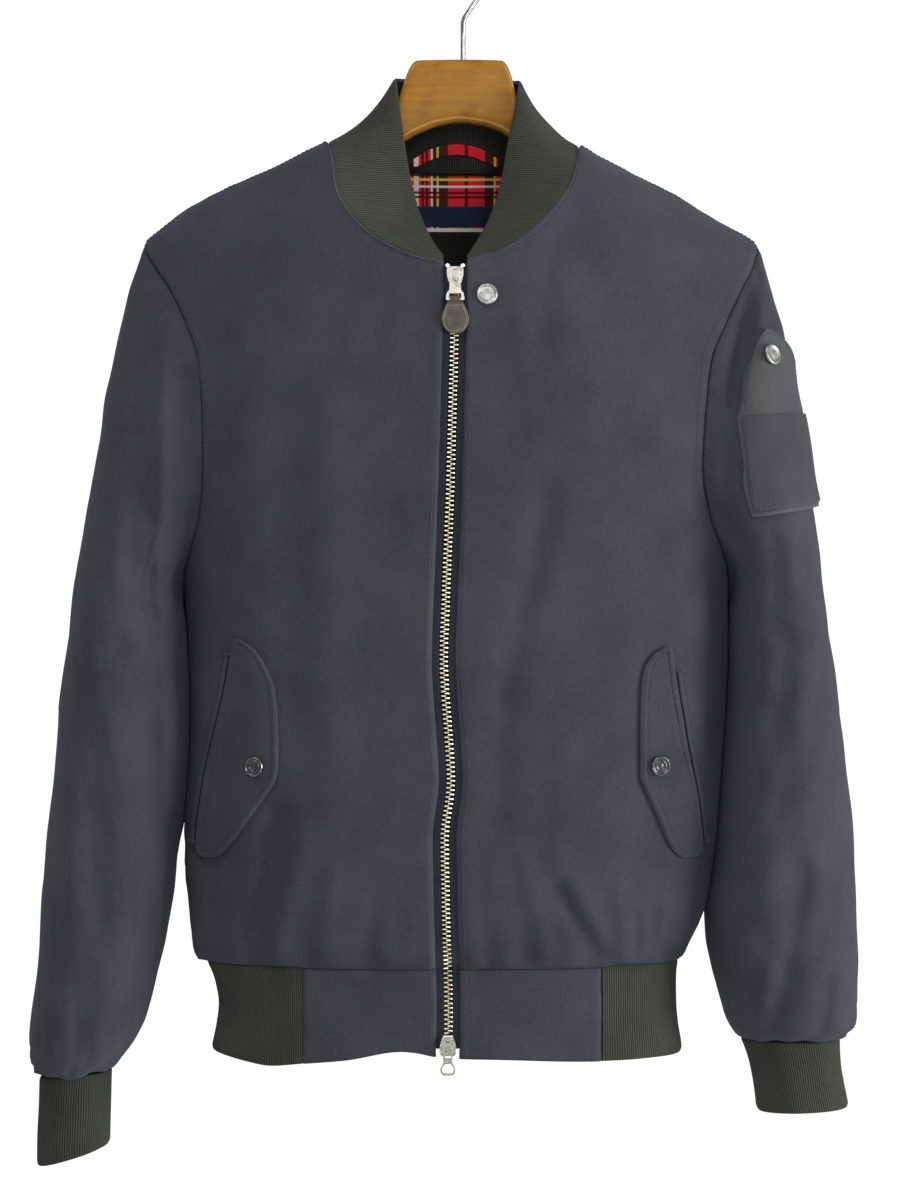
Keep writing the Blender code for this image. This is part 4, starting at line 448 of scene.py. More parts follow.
# shape of the collar
def collarGrid(rows, perColumn):
    # columns run along the neck seam: left front, back, right front
    frontCount, backCount = int(9 * perColumn), int(14 * perColumn)

    def front(hand):
        at = np.linspace(0.0, 9.0, frontCount + 1)
        step = np.interp(at, np.arange(10.0), neck["steps"])
        x, height = frontTop(hand, np.minimum(at, 8.9999))
        seam = bodyPoint("front", height, bodyTurn(height, x))
        edge = np.stack([read(neck[hand], "along", part, step) for part in ("topX", "topY", "topHeight")], -1)
        return seam, edge

    leftSeam, leftEdge = front("left")
    rightSeam, rightEdge = front("right")
    x, height = backTop(neck["shoulderShare"] + np.linspace(0.0, neck["backShare"], backCount + 1))
    backSeam = bodyPoint("back", height, bodyTurn(height, x))
    angle = np.linspace(-math.pi / 2.0, math.pi / 2.0, backCount + 1)[:, None]
    backEdge = mix(leftEdge[-1], rightEdge[-1], (np.sin(angle) + 1.0) / 2.0)
    backEdge = backEdge + np.cos(angle) * np.array([[0.0, collar["backReach"], collar["backRise"]]])
    seam = np.concatenate([leftSeam[:-1], backSeam, rightSeam[::-1][1:]])
    edge = np.concatenate([leftEdge[:-1], backEdge, rightEdge[::-1][1:]])
    for corner in (frontCount, frontCount + backCount):      # ease the turn at each neck point
        for index in range(corner - 2, corner + 3):
            seam[index, 1] = (seam[index - 1, 1] + seam[index, 1] + seam[index + 1, 1]) / 3.0
    rise = edge - seam
    length = np.linalg.norm(rise, axis=1, keepdims=True)
    start = seam + rise / length * seamGap
    inward = np.stack([-6.0 - seam[:, 0], 8.0 - seam[:, 1], np.full(len(seam), -40.0)], -1)
    inward /= np.linalg.norm(inward, axis=1, keepdims=True)
    share = np.linspace(0.0, 1.0, rows + 1)[:, None, None]
    hollow = collar["hollow"] * np.minimum(length / 60.0, 1.0) ** 2
    sag = hollow[None] * 4.0 * share * (1.0 - share) * (1.25 - 0.5 * share)
    return mix(start[None], edge[None], share) + inward[None] * sag


# shape of the hem
hem = {
    "frontLeft": -110.0, "frontRight": 95.0, "thick": 2.6,
    "front": table(
        "x height",
        (-178, -777), (-150, -781.5), (-134, -783.5), (-110, -781), (-80, -778),
        (-42, -771.8), (-32, -772.6), (-20, -775), (-2, -776.5), (25, -777.2), (95, -779.5), (150, -779)),
    "back": table(
        "x height",
        (-178, -777), (-80, -781), (0, -779), (90, -781), (150, -779)),
}


def hemColumns(face, turnAt, rows):
    # turnAt gives each column's turn at any height
    start = body["hemSeam"] - seamGap
    x = bodyPoint(face, start, turnAt(start))[..., 0]
    end = read(hem[face], "x", "height", x)
    height = mix(start, end[None, :], np.linspace(0.0, 1.0, rows + 1)[:, None])
    return bodyPoint(face, height, turnAt(height))


def hemFrontGrid(hand, columns, rows):
    seamX = hem["frontLeft"] + seamGap if hand == "left" else hem["frontRight"] - seamGap
    share = np.linspace(0.0, 1.0, columns + 1)
    return hemColumns("front", lambda h: bodyTurn(h, mix(placketX(hand, h), seamX, share)), rows)


def hemRibGrid(rows, side, rear):
    quarter = math.pi / 2.0
    share = np.linspace(0.0, 1.0, side + 1)
    left = hemColumns("front", lambda h: mix(bodyTurn(h, hem["frontLeft"]), -quarter, share[:-1]), rows)
    middle = hemColumns("back", lambda h: np.linspace(-quarter, quarter, rear + 1) + 0.0 * h, rows)
    right = hemColumns("front", lambda h: mix(quarter, bodyTurn(h, hem["frontRight"]), share[1:]), rows)
    return np.concatenate([left, middle, right], axis=1)


# grids into cloth
def gridNormals(grid, closed, outward):
    # unit normals of a grid, turned to the side where its middle faces outward
    up = np.gradient(grid, axis=0)
    if closed:
        ring = np.concatenate([grid[:, -2:-1], grid, grid[:, 1:2]], axis=1)
        across = (ring[:, 2:] - ring[:, :-2]) / 2.0
    else:
        across = np.gradient(grid, axis=1)
    normals = np.cross(across, up)
    normals /= np.maximum(np.linalg.norm(normals, axis=-1, keepdims=True), 1e-9)
    return normals if (normals * np.array(outward, float)).sum(-1).mean() >= 0.0 else -normals


def gridLengths(grid):
    # how far each point lies along its row and up its column
    across = np.linalg.norm(np.diff(grid, axis=1), axis=2)
    up = np.linalg.norm(np.diff(grid, axis=0), axis=2)
    return (np.pad(np.cumsum(across, axis=1), ((0, 0), (1, 0))), np.pad(np.cumsum(up, axis=0), ((1, 0), (0, 0))))


def edgeReach(grid):
    # distances of every point from the four edges of its grid
    across, up = gridLengths(grid)
    return {"start": across, "end": across[:, -1:] - across, "low": up, "high": up[-1:] - up}


def measured(grid):
    return (*gridLengths(grid), edgeReach(grid))


def seamRelief(away, along, ease, pucker, seed, roll=1.0, ridge=0.35):
    # a sewn edge: the cloth rolls under, stands up over its allowance and puckers
    edge = rolledIn(away, roll, 2.2)
    bulk = ridge * np.exp(-((away - 4.0) / 2.6) ** 2)
    gathers = ripple(along, 0.0 * along, 13.0, 4, seed) + 0.6 * ripple(along, 0.0 * along, 24.0, 3, seed + 1)
    return edge + bulk + pucker * gathers * np.exp(-(away / ease) ** 2) * smoothStep(away / 3.0)


def calmed(reach, ease, least=0.0):
    # less of an effect near the two side edges
    return np.clip(np.minimum(reach["start"], reach["end"]) / ease, least, 1.0)


def hemGathers(u, away, count, seed, height):
    # folds where the cloth is gathered into the hem
    return ripple(u, 0.0 * u, 27.0, count, seed) * height * np.exp(-(away / 34.0) ** 2) * smoothStep(away / 7.0)


def rolledIn(away, depth, width):
    return -depth * np.clip(1.0 - away / width, 0.0, 1.0) ** 2


def stitchGroove(away, inset, depth=0.42):
    return -depth * np.exp(-((away - inset) / 0.9) ** 2)


def makeCloth(name, grid, thick, material, closed=False, outward=forward, edgeFade=7.0, steadyMap=False, plain=(),
              mapAcross=None, roundRim=0.0):
    # the grid is the outer face in millimetres; Solidify gives the wall inside it
    rows, columns = grid.shape[:2]
    normals = gridNormals(grid, closed, outward)
    across, up = gridLengths(grid)
    if steadyMap:       # ribs keep their count from edge to edge
        across = np.broadcast_to(across[0], across.shape)
    across = across - across[:, columns // 2][:, None]
    if mapAcross is not None:
        across = mapAcross
    reach = edgeReach(grid)
    near = np.full(grid.shape[:2], 999.0)       # how close each point is to an edge that turns in
    for side in ("low", "high") if closed else ("low", "high", "start", "end"):
        if side not in plain:
            near = np.minimum(near, reach[side])
    corner = np.arange(rows * columns).reshape(rows, columns)
    order = corner.copy()
    if closed:
        order[:, -1] = order[:, 0]
    quads, corners = (np.stack([n[:-1, :-1], n[:-1, 1:], n[1:, 1:], n[1:, :-1]], -1).reshape(-1, 4)
                      for n in (order, corner))
    facing = np.cross(grid[1:, 1:] - grid[:-1, :-1], grid[1:, :-1] - grid[:-1, 1:]) * normals[:-1, :-1]
    if facing.sum(-1).mean() < 0.0:
        quads, corners = quads[:, ::-1], corners[:, ::-1]
    mesh = bpy.data.meshes.new(name)
    mesh.from_pydata((grid.reshape(-1, 3) * mm).tolist(), [], quads.tolist())
    uvs = np.stack([across, up], -1).reshape(-1, 2)[corners.reshape(-1)] * mm
    mesh.uv_layers.new(name="clothMap").data.foreach_set("uv", uvs.reshape(-1).astype(np.float32))
    # seam: 1 at a sewn edge, fading inward; the woven finishes lighten there, partly as wear and partly as painted
    # highlight
    seam = mesh.attributes.new("seam", "FLOAT", "POINT")
    seam.data.foreach_set("value", np.clip(1.0 - near / edgeFade, 0.0, 1.0).reshape(-1).astype(np.float32))
    mesh.materials.append(material)
    made = newObject(name, mesh)
    if closed:
        work = bmesh.new()
        work.from_mesh(mesh)
        bmesh.ops.delete(work, geom=[v for v in work.verts if not v.link_faces], context="VERTS")
        work.to_mesh(mesh)
        work.free()
    mesh.shade_smooth()
    thicken(made, thick)
    if roundRim:
        bevelEdges(made, roundRim, 3, 62.0)
    applyModifiers(made)
    print("  %s: map %.0f x %.0f mm, wall area %.4f" % (
        name, across.max() - across.min(), up.max(), sum(f.area for f in made.data.polygons) / 2.0))
    return made


def newObject(name, data):
    made = bpy.data.objects.new(name, data)
    bpy.context.scene.collection.objects.link(made)
    return made


def selectOnly(made):
    bpy.ops.object.select_all(action="DESELECT")
    bpy.context.view_layer.objects.active = made
    made.select_set(True)


def bevelEdges(made, width, segments, angle=None):
    # rounds the edges that are sharper than the angle, in degrees
    bevel = made.modifiers.new("soft edges", "BEVEL")
    bevel.width, bevel.segments = width * mm, segments
    if angle:
        bevel.limit_method, bevel.angle_limit = "ANGLE", math.radians(angle)


def thicken(made, thick):
    wall = made.modifiers.new("wall", "SOLIDIFY")
    wall.thickness, wall.offset = thick * mm, -1.0


def turnFacesOut(mesh):
    work = bmesh.new()
    work.from_mesh(mesh)
    bmesh.ops.recalc_face_normals(work, faces=work.faces)
    work.to_mesh(mesh)
    work.free()


def applyModifiers(made):
    selectOnly(made)
    for modifier in list(made.modifiers):
        bpy.ops.object.modifier_apply(modifier=modifier.name)
    made.select_set(False)


def surfaceTree(made):
    work = bmesh.new()
    work.from_mesh(made.data)
    tree = BVHTree.FromBMesh(work)
    work.free()
    return tree


def hitFront(names, x, height):
    # the outermost point of the front at a place, in millimetres
    start, toBack = Vector((x * mm, -0.2, height * mm)), Vector((0.0, 1.0, 0.0))
    hits = [trees[name].ray_cast(start, toBack)[0] for name in names]
    return min((hit.y / mm for hit in hits if hit is not None), default=None)


# shader helpers and the effects that several finishes share
def calc(tree, operation, *values):
    node = tree.nodes.new("ShaderNodeMath")
    node.operation = operation
    for socket, value in zip(node.inputs, values):
        if isinstance(value, (int, float)):
            socket.default_value = value
        else:
            tree.links.new(value, socket)
    return node.outputs[0]


def times(tree, first, second):
    return calc(tree, "MULTIPLY", first, second)


def plus(tree, first, second):
    return calc(tree, "ADD", first, second)


def blendColour(tree, factor, first, second):
    node = tree.nodes.new("ShaderNodeMix")
    node.data_type = "RGBA"
    for socket, value in ((node.inputs[0], factor), (node.inputs[6], first), (node.inputs[7], second)):
        if isinstance(value, (int, float)):
            socket.default_value = value
        elif isinstance(value, tuple):
            socket.default_value = (*value, 1.0)
        else:
            tree.links.new(value, socket)
    return node.outputs[2]


def noise(tree, place, size, detail=2.0, rough=0.55, distortion=0.0):
    # size is that of one lump, in metres
    node = tree.nodes.new("ShaderNodeTexNoise")
    node.inputs["Scale"].default_value = 1.0 / size
    node.inputs["Detail"].default_value = detail
    node.inputs["Roughness"].default_value = rough
    node.inputs["Distortion"].default_value = distortion
    tree.links.new(place, node.inputs["Vector"])
    return node.outputs["Fac"]


def spread(tree, value, low, high, toLow=0.0, toHigh=1.0):
    node = tree.nodes.new("ShaderNodeMapRange")
    tree.links.new(value, node.inputs["Value"])
    for name, number in (("From Min", low), ("From Max", high), ("To Min", toLow), ("To Max", toHigh)):
        node.inputs[name].default_value = number
    return node.outputs["Result"]


def splitPlace(tree, place):
    node = tree.nodes.new("ShaderNodeSeparateXYZ")
    tree.links.new(place, node.inputs[0])
    return node.outputs


def stretched(tree, place, scale):
    node = tree.nodes.new("ShaderNodeMapping")
    node.inputs["Scale"].default_value = scale
    tree.links.new(place, node.inputs["Vector"])
    return node.outputs[0]


def newGroup(name, inputs, outputs):
    tree = bpy.data.node_groups.new(name, "ShaderNodeTree")
    for label, kind, value in inputs:
        socket = tree.interface.new_socket(label, in_out="INPUT", socket_type=kind)
        if value is not None:
            socket.default_value = value
    for label, kind in outputs:
        tree.interface.new_socket(label, in_out="OUTPUT", socket_type=kind)
    return tree, tree.nodes.new("NodeGroupInput").outputs, tree.nodes.new("NodeGroupOutput").inputs


vectorKind, floatKind = "NodeSocketVector", "NodeSocketFloat"


def makeWeaveGroup():
    # plain weave: threads pass over and under in turn; Map is in metres on the cloth
    tree, given, out = newGroup("plainWeave", [("Map", vectorKind, None), ("Pitch", floatKind, 0.0012)],
                                [("Height", floatKind), ("Gap", floatKind)])
    wobble = times(tree, calc(tree, "SUBTRACT", noise(tree, given["Map"], 0.006), 0.5), 0.0009)
    x, y, _ = splitPlace(tree, given["Map"])
    turns = []
    for part in (x, y):
        across = calc(tree, "DIVIDE", plus(tree, part, wobble), given["Pitch"])
        turns.append(times(tree, across, math.pi))
    warp = calc(tree, "ABSOLUTE", calc(tree, "SINE", turns[0]))
    weft = calc(tree, "ABSOLUTE", calc(tree, "SINE", turns[1]))
    over = times(tree, calc(tree, "COSINE", turns[0]), calc(tree, "COSINE", turns[1]))
    height = plus(tree, times(tree, warp, weft), times(tree, over, 0.35))
    tree.links.new(height, out["Height"])
    tree.links.new(calc(tree, "SUBTRACT", 1.0, calc(tree, "MINIMUM", warp, weft)), out["Gap"])
    return tree


def makeRibGroup():
    # rib knit: round ribs across U with small stitches along V
    tree, given, out = newGroup("ribKnit", [("Map", vectorKind, None), ("Pitch", floatKind, 0.0017)],
                                [("Height", floatKind), ("Groove", floatKind)])
    x, y, _ = splitPlace(tree, given["Map"])
    sway = times(tree, calc(tree, "SUBTRACT", noise(tree, given["Map"], 0.02), 0.5), 0.0012)
    turn = times(tree, calc(tree, "DIVIDE", plus(tree, x, sway), given["Pitch"]), math.pi)
    rib = calc(tree, "POWER", calc(tree, "ABSOLUTE", calc(tree, "SINE", turn)), 0.9)
    loops = calc(tree, "ABSOLUTE", calc(tree, "SINE", plus(tree, times(tree, y, math.pi / 0.0011),
                                                           times(tree, rib, 0.9))))
    tree.links.new(plus(tree, rib, times(tree, loops, 0.22)), out["Height"])
    tree.links.new(calc(tree, "SUBTRACT", 1.0, rib), out["Groove"])
    return tree


def makeMottleGroup():
    # uneven dye and nap: a broad cloud and a fine fleck, both about 0.5 in the middle
    tree, given, out = newGroup("mottle", [("Place", vectorKind, None)], [("Cloud", floatKind), ("Fleck", floatKind)])
    tree.links.new(noise(tree, given["Place"], 0.055, 3.0, 0.6), out["Cloud"])
    tree.links.new(noise(tree, given["Place"], 0.0022, 2.0, 0.7), out["Fleck"])
    return tree


weaveGroup, ribGroup, mottleGroup = makeWeaveGroup(), makeRibGroup(), makeMottleGroup()


def useGroup(tree, group, place, **values):
    node = tree.nodes.new("ShaderNodeGroup")
    node.node_tree = group
    tree.links.new(place, node.inputs[0])
    for name, value in values.items():
        node.inputs[name].default_value = value
    return node.outputs


def newMaterial(name, **shaderValues):
    material = bpy.data.materials.new(name)
    material.use_nodes = True
    tree = material.node_tree
    shader = tree.nodes["Principled BSDF"]
    for key, value in shaderValues.items():
        shader.inputs[key.replace("_", " ")].default_value = value
    coordinates = tree.nodes.new("ShaderNodeTexCoord")
    return material, tree, shader, coordinates.outputs["Object"], coordinates.outputs["UV"]


def bump(tree, shader, height, strength, distance):
    node = tree.nodes.new("ShaderNodeBump")
    node.inputs["Strength"].default_value = strength
    node.inputs["Distance"].default_value = distance
    tree.links.new(height, node.inputs["Height"])
    tree.links.new(node.outputs[0], shader.inputs["Normal"])


def attribute(tree, name):
    node = tree.nodes.new("ShaderNodeAttribute")
    node.attribute_name = name
    return node.outputs["Fac"]


def wovenMaterial(name, dark, light, pitch, sheen=0.06, depth=0.5, roughness=0.92, gloss=0.10):
    material, tree, shader, place, clothMap = newMaterial(name, Sheen_Weight=sheen, Sheen_Roughness=0.5,
                                                          Roughness=roughness,
                                                          Specular_IOR_Level=gloss)
    shader.inputs["Sheen Tint"].default_value = (0.75, 0.8, 0.95, 1.0)
    weave = useGroup(tree, weaveGroup, clothMap, Pitch=pitch)
    mottled = useGroup(tree, mottleGroup, place)
    lean = plus(tree, times(tree, mottled["Cloud"], 0.55), times(tree, mottled["Fleck"], 0.45))
    colour = blendColour(tree, spread(tree, lean, 0.32, 0.68), dark, light)
    # painted shade: the gaps between threads are darkened
    colour = blendColour(tree, times(tree, weave["Gap"], 0.34), colour, tuple(0.45 * c for c in dark))
    # lighter towards each sewn edge: partly seam wear, partly a painted highlight on the seam's ridge
    wearAndRidgeHighlight = times(tree, attribute(tree, "seam"), spread(tree, mottled["Cloud"], 0.4, 0.65, 0.1, 0.5))
    colour = blendColour(tree, wearAndRidgeHighlight, colour, tuple(1.18 * c for c in light))
    tree.links.new(colour, shader.inputs["Base Color"])
    height = plus(tree, weave["Height"], times(tree, mottled["Fleck"], 0.8))
    bump(tree, shader, height, depth, 0.0005)
    return material


def ribMaterial():
    material, tree, shader, place, clothMap = newMaterial("ribKnitOlive", Sheen_Weight=0.05, Sheen_Roughness=0.5,
                                                          Roughness=0.95,
                                                          Specular_IOR_Level=0.06)
    rib = useGroup(tree, ribGroup, clothMap)
    mottled = useGroup(tree, mottleGroup, place)
    colour = blendColour(tree, spread(tree, mottled["Cloud"], 0.35, 0.65), (0.041, 0.0435, 0.034),
                         (0.061, 0.0635, 0.050))
    # painted shade: the grooves between the ribs are coloured near black
    colour = blendColour(tree, rib["Groove"], colour, (0.0025, 0.0028, 0.0024))
    colour = blendColour(tree, times(tree, mottled["Fleck"], 0.25), colour, (0.060, 0.064, 0.055))
    tree.links.new(colour, shader.inputs["Base Color"])
    bump(tree, shader, plus(tree, rib["Height"], times(tree, mottled["Fleck"], 0.3)), 0.9, 0.0008)
    return material


# a plain traditional check, in millimetres: middle and half width of each stripe
black, maroon, white, yellow = (0.020, 0.024, 0.020), (0.10, 0.012, 0.014), (0.95, 0.92, 0.85), (0.95, 0.74, 0.10)
sett = {
    "ground": (0.86, 0.030, 0.045), "period": 66.0, "start": -42.0,
    "across": (
        (black, -16.0, 5.4), (black, 19.8, 4.1), (maroon, -28.6, 0.9),
        (maroon, -25.6, 0.9), (white, -33.1, 1.7), (white, -22.0, 0.7),
        (yellow, -17.9, 0.8), (yellow, 22.8, 0.8), (maroon, 2.6, 1.2)),
    "along": (
        (black, -160.0, 3.0), (black, -187.0, 3.5), (yellow, -165.1, 0.8),
        (white, -169.8, 0.8), (maroon, -174.0, 0.8), (maroon, -177.0, 0.8),
        (white, -199.5, 1.4)),
}


def tartanMaterial():
    material, tree, shader, place, clothMap = newMaterial("tartanLining", Roughness=0.85, Sheen_Weight=0.02,
                                                          Specular_IOR_Level=0.06)
    x, _, z = splitPlace(tree, place)
    colour = blendColour(tree, useGroup(tree, mottleGroup, place)["Fleck"], sett["ground"],
                         tuple(1.25 * c for c in sett["ground"]))
    for part, stripes, offset in ((x, sett["across"], sett["start"]), (z, sett["along"], -205.0)):
        inMm = times(tree, part, 1000.0)
        wrapped = calc(tree, "WRAP", inMm, offset + sett["period"], offset)
        for stripe, middle, half in stripes:
            mask = times(tree, calc(tree, "COMPARE", wrapped, middle, half), 0.93)
            colour = blendColour(tree, mask, colour, stripe)
    tree.links.new(colour, shader.inputs["Base Color"])
    bump(tree, shader, useGroup(tree, weaveGroup, clothMap, Pitch=0.0008)["Height"], 0.4, 0.0003)
    return material


def metalMaterial(name, colour, roughness, tarnish, spots=0.004):
    material, tree, shader, place, _ = newMaterial(name, Metallic=1.0)
    cloud = noise(tree, place, spots, 3.0, 0.6)
    fine = noise(tree, place, 0.0006, 2.0)
    tree.links.new(blendColour(tree, spread(tree, cloud, 0.45, 0.75), colour, tarnish), shader.inputs["Base Color"])
    tree.links.new(plus(tree, roughness - 0.08, times(tree, fine, 0.18)), shader.inputs["Roughness"])
    bump(tree, shader, fine, 0.12, 0.0001)
    return material


def leatherMaterial():
    material, tree, shader, place, _ = newMaterial("oliveLeather", Roughness=0.55, Specular_IOR_Level=0.35)
    pores = tree.nodes.new("ShaderNodeTexVoronoi")
    pores.inputs["Scale"].default_value = 1100.0
    tree.links.new(place, pores.inputs["Vector"])
    colour = blendColour(tree, spread(tree, noise(tree, place, 0.006), 0.35, 0.65), (0.040, 0.037, 0.026),
                         (0.070, 0.065, 0.047))
    colour = blendColour(tree, times(tree, attribute(tree, "edge"), 0.6), colour, (0.15, 0.135, 0.10))
    tree.links.new(colour, shader.inputs["Base Color"])
    bump(tree, shader, pores.outputs["Distance"], 0.35, 0.0003)
    return material


def woodMaterial():
    material, tree, shader, place, _ = newMaterial("varnishedWood", Coat_Weight=0.06, Coat_Roughness=0.25,
                                                   Specular_IOR_Level=0.12)
    long = stretched(tree, place, (1.0, 9.0, 9.0))
    figure = noise(tree, long, 0.05, 4.0, 0.6, 0.8)
    rings = tree.nodes.new("ShaderNodeTexWave")
    rings.bands_direction = "Z"
    rings.inputs["Scale"].default_value = 55.0
    rings.inputs["Distortion"].default_value = 7.0
    rings.inputs["Detail"].default_value = 3.0
    rings.inputs["Detail Scale"].default_value = 0.8
    tree.links.new(stretched(tree, place, (0.16, 0.6, 1.0)), rings.inputs["Vector"])
    colour = blendColour(tree, spread(tree, figure, 0.30, 0.72), (0.212, 0.089, 0.006), (0.318, 0.147, 0.012))
    colour = blendColour(tree, times(tree, rings.outputs["Fac"], 0.10), colour, (0.13, 0.048, 0.006))
    colour = blendColour(tree, spread(tree, noise(tree, place, 0.018), 0.50, 0.68, 0.0, 0.35), colour,
                         (0.085, 0.030, 0.006))
    # painted highlight: pale along the front-facing corners that the edge mask marks
    colour = blendColour(tree, calc(tree, "POWER", attribute(tree, "edge"), 4.0), colour, (0.74, 0.52, 0.25))
    tree.links.new(colour, shader.inputs["Base Color"])
    tree.links.new(spread(tree, figure, 0.3, 0.7, 0.32, 0.5), shader.inputs["Roughness"])
    bump(tree, shader, rings.outputs["Fac"], 0.12, 0.0002)
    return material


def glossMaterial(name, colour, roughness, coat=0.3):
    material, tree, shader, place, _ = newMaterial(name, Coat_Weight=coat)
    cloud = noise(tree, place, 0.004, 3.0)
    tree.links.new(blendColour(tree, spread(tree, cloud, 0.4, 0.7), colour, tuple(1.8 * c for c in colour)),
                   shader.inputs["Base Color"])
    tree.links.new(plus(tree, roughness, times(tree, cloud, 0.12)), shader.inputs["Roughness"])
    return material


finish = {
    "wool": wovenMaterial("woolWeave", (0.0325, 0.0325, 0.0400), (0.0560, 0.0560, 0.0695), 0.00105, depth=0.32),
    "rib": ribMaterial(),
    "tartan": tartanMaterial(),
    "nylon": wovenMaterial("nylonWeave", (0.036, 0.037, 0.040), (0.056, 0.057, 0.061), 0.0006, 0.05, 0.25, 0.62, 0.30),
    "satin": wovenMaterial("satinGrey", (0.034, 0.035, 0.038), (0.050, 0.052, 0.056), 0.0005, 0.03, 0.2, 0.6, 0.16),
    "blackSatin": wovenMaterial("satinBlack", (0.012, 0.012, 0.012), (0.022, 0.022, 0.022), 0.0005, 0.1, 0.2, 0.45),
    "navySatin": wovenMaterial("satinNavy", (0.020, 0.030, 0.062), (0.032, 0.046, 0.090), 0.0005, 0.1, 0.2, 0.42),
    "tape": wovenMaterial("zipTapeWeave", (0.018, 0.021, 0.030), (0.030, 0.034, 0.046), 0.0007, 0.15, 0.4),
    "zipMetal": metalMaterial("zipMetal", (0.62, 0.60, 0.54), 0.24, (0.34, 0.31, 0.24)),
    # a darker copy of the zip metal for the bottom slider and pull: painted shade
    "shadedZipMetal": metalMaterial("shadedZipMetal", (0.44, 0.44, 0.38), 0.20, (0.20, 0.20, 0.16), 0.003),
    "toothMetal": metalMaterial("toothMetal", (0.92, 0.86, 0.68), 0.34, (0.70, 0.62, 0.44)),
    "snapMetal": metalMaterial("agedSnapMetal", (0.38, 0.38, 0.36), 0.42, (0.16, 0.16, 0.155), 0.002),
    "chrome": metalMaterial("brightWire", (0.36, 0.36, 0.37), 0.20, (0.22, 0.22, 0.22)),
    "rim": metalMaterial("buttonRim", (0.26, 0.26, 0.25), 0.26, (0.05, 0.05, 0.05)),
    "leather": leatherMaterial(),
    "wood": woodMaterial(),
    "horn": glossMaterial("darkButton", (0.016, 0.016, 0.018), 0.22),
    "thread": glossMaterial("navyThread", (0.026, 0.027, 0.034), 0.6, 0.0),
    "ribThread": glossMaterial("darkThread", (0.030, 0.032, 0.034), 0.6, 0.0),
    "paleThread": glossMaterial("oliveThread", (0.17, 0.16, 0.12), 0.6, 0.0),
}
print("stage: finishes made")


def displaced(grid, amount, closed=False, outward=forward):
    return grid + gridNormals(grid, closed, outward) * amount[..., None]


def fit(made, body, slotName, *nodes):
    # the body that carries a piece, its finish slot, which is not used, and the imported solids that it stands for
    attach(made, body)
    if nodes:
        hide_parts(*nodes)


def dress(made, node, slotName, flat, area=None, held="hung", rests="hanger_wood"):
    fit(made, "jacket", slotName, node)


# stitches: one short thread copied along lines that lie on the cloth
thread = {"pitch": 3.3, "length": 2.5, "half": 0.30, "sides": 5}
stitchRuns = {"navyThread": [], "ribThread": [], "paleThread": []}


def lineInside(grid, side, inset, closed=False, outward=forward, span=(0.0, 1.0)):
    # the line a fixed way in from one edge of a grid, with the cloth's normals
    normals = gridNormals(grid, closed, outward)
    turnOver = {"start": lambda g: g, "end": lambda g: g[:, ::-1],
                "low": lambda g: g.transpose(1, 0, 2), "high": lambda g: g[::-1].transpose(1, 0, 2)}[side]
    points, facing = turnOver(grid), turnOver(normals)
    lengths = gridLengths(points)[0]
    line = np.array([[np.interp(inset, length, row[:, k]) for k in range(3)] for row, length in zip(points, lengths)])
    toward = np.array([[np.interp(inset, length, row[:, k]) for k in range(3)] for row, length in zip(facing, lengths)])
    low, high = int(span[0] * len(line)), max(int(span[1] * len(line)), 2)
    return line[low:high], toward[low:high]


def sew(line, toward, run="navyThread", pitch=None, rise=0.12):
    pitch = pitch or thread["pitch"]
    away = np.concatenate([[0.0], np.cumsum(np.linalg.norm(np.diff(line, axis=0), axis=1))])
    count = int(away[-1] / pitch)
    if count < 1:
        return
    middles = (np.arange(count) + 0.5) * away[-1] / count
    at = np.stack([np.interp(middles, away, line[:, k]) for k in range(3)], -1)
    ahead = np.stack([np.interp(middles + 0.5, away, line[:, k]) - np.interp(middles - 0.5, away, line[:, k])
                      for k in range(3)], -1)
    face = np.stack([np.interp(middles, away, toward[:, k]) for k in range(3)], -1)
    ahead /= np.linalg.norm(ahead, axis=1, keepdims=True)
    face -= ahead * (face * ahead).sum(1, keepdims=True)
    face /= np.linalg.norm(face, axis=1, keepdims=True)
    stitchRuns[run].append((at + face * rise, ahead, face, pitch * thread["length"] / thread["pitch"]))


def makeStitches(name, run, material, body, slotName):
    # every stitch is the same short thread, pushed down at its ends
    sides, rings = thread["sides"], ((-0.5, 0.35, -0.25), (-0.36, 1.0, 0.0), (0.36, 1.0, 0.0), (0.5, 0.35, -0.25))
    verts, faces = [], []
    for at, ahead, face, length in stitchRuns[run]:
        side = np.cross(ahead, face)
        wobble = draw.normal(0.0, 0.05, (len(at), 2))
        for i in range(len(at)):
            base = len(verts)
            lean = ahead[i] + side[i] * wobble[i, 0]
            for along, size, sink in rings:
                centre = at[i] + lean * along * length + face[i] * sink
                for k in range(sides):
                    angle = 2.0 * math.pi * k / sides
                    ring = side[i] * math.cos(angle) + face[i] * math.sin(angle) * 0.8
                    verts.append((centre + ring * thread["half"] * size) * mm)
            for r in range(len(rings) - 1):
                for k in range(sides):
                    a, b = base + r * sides + k, base + r * sides + (k + 1) % sides
                    faces.append((a, a + sides, b + sides, b))
            faces.append(tuple(base + k for k in range(sides)))
            faces.append(tuple(base + (len(rings) - 1) * sides + k for k in reversed(range(sides))))
    mesh = bpy.data.meshes.new(name)
    mesh.from_pydata([tuple(v) for v in verts], [], faces)
    mesh.materials.append(material)
    mesh.shade_smooth()
    made = newObject(name, mesh)
    fit(made, body, slotName)


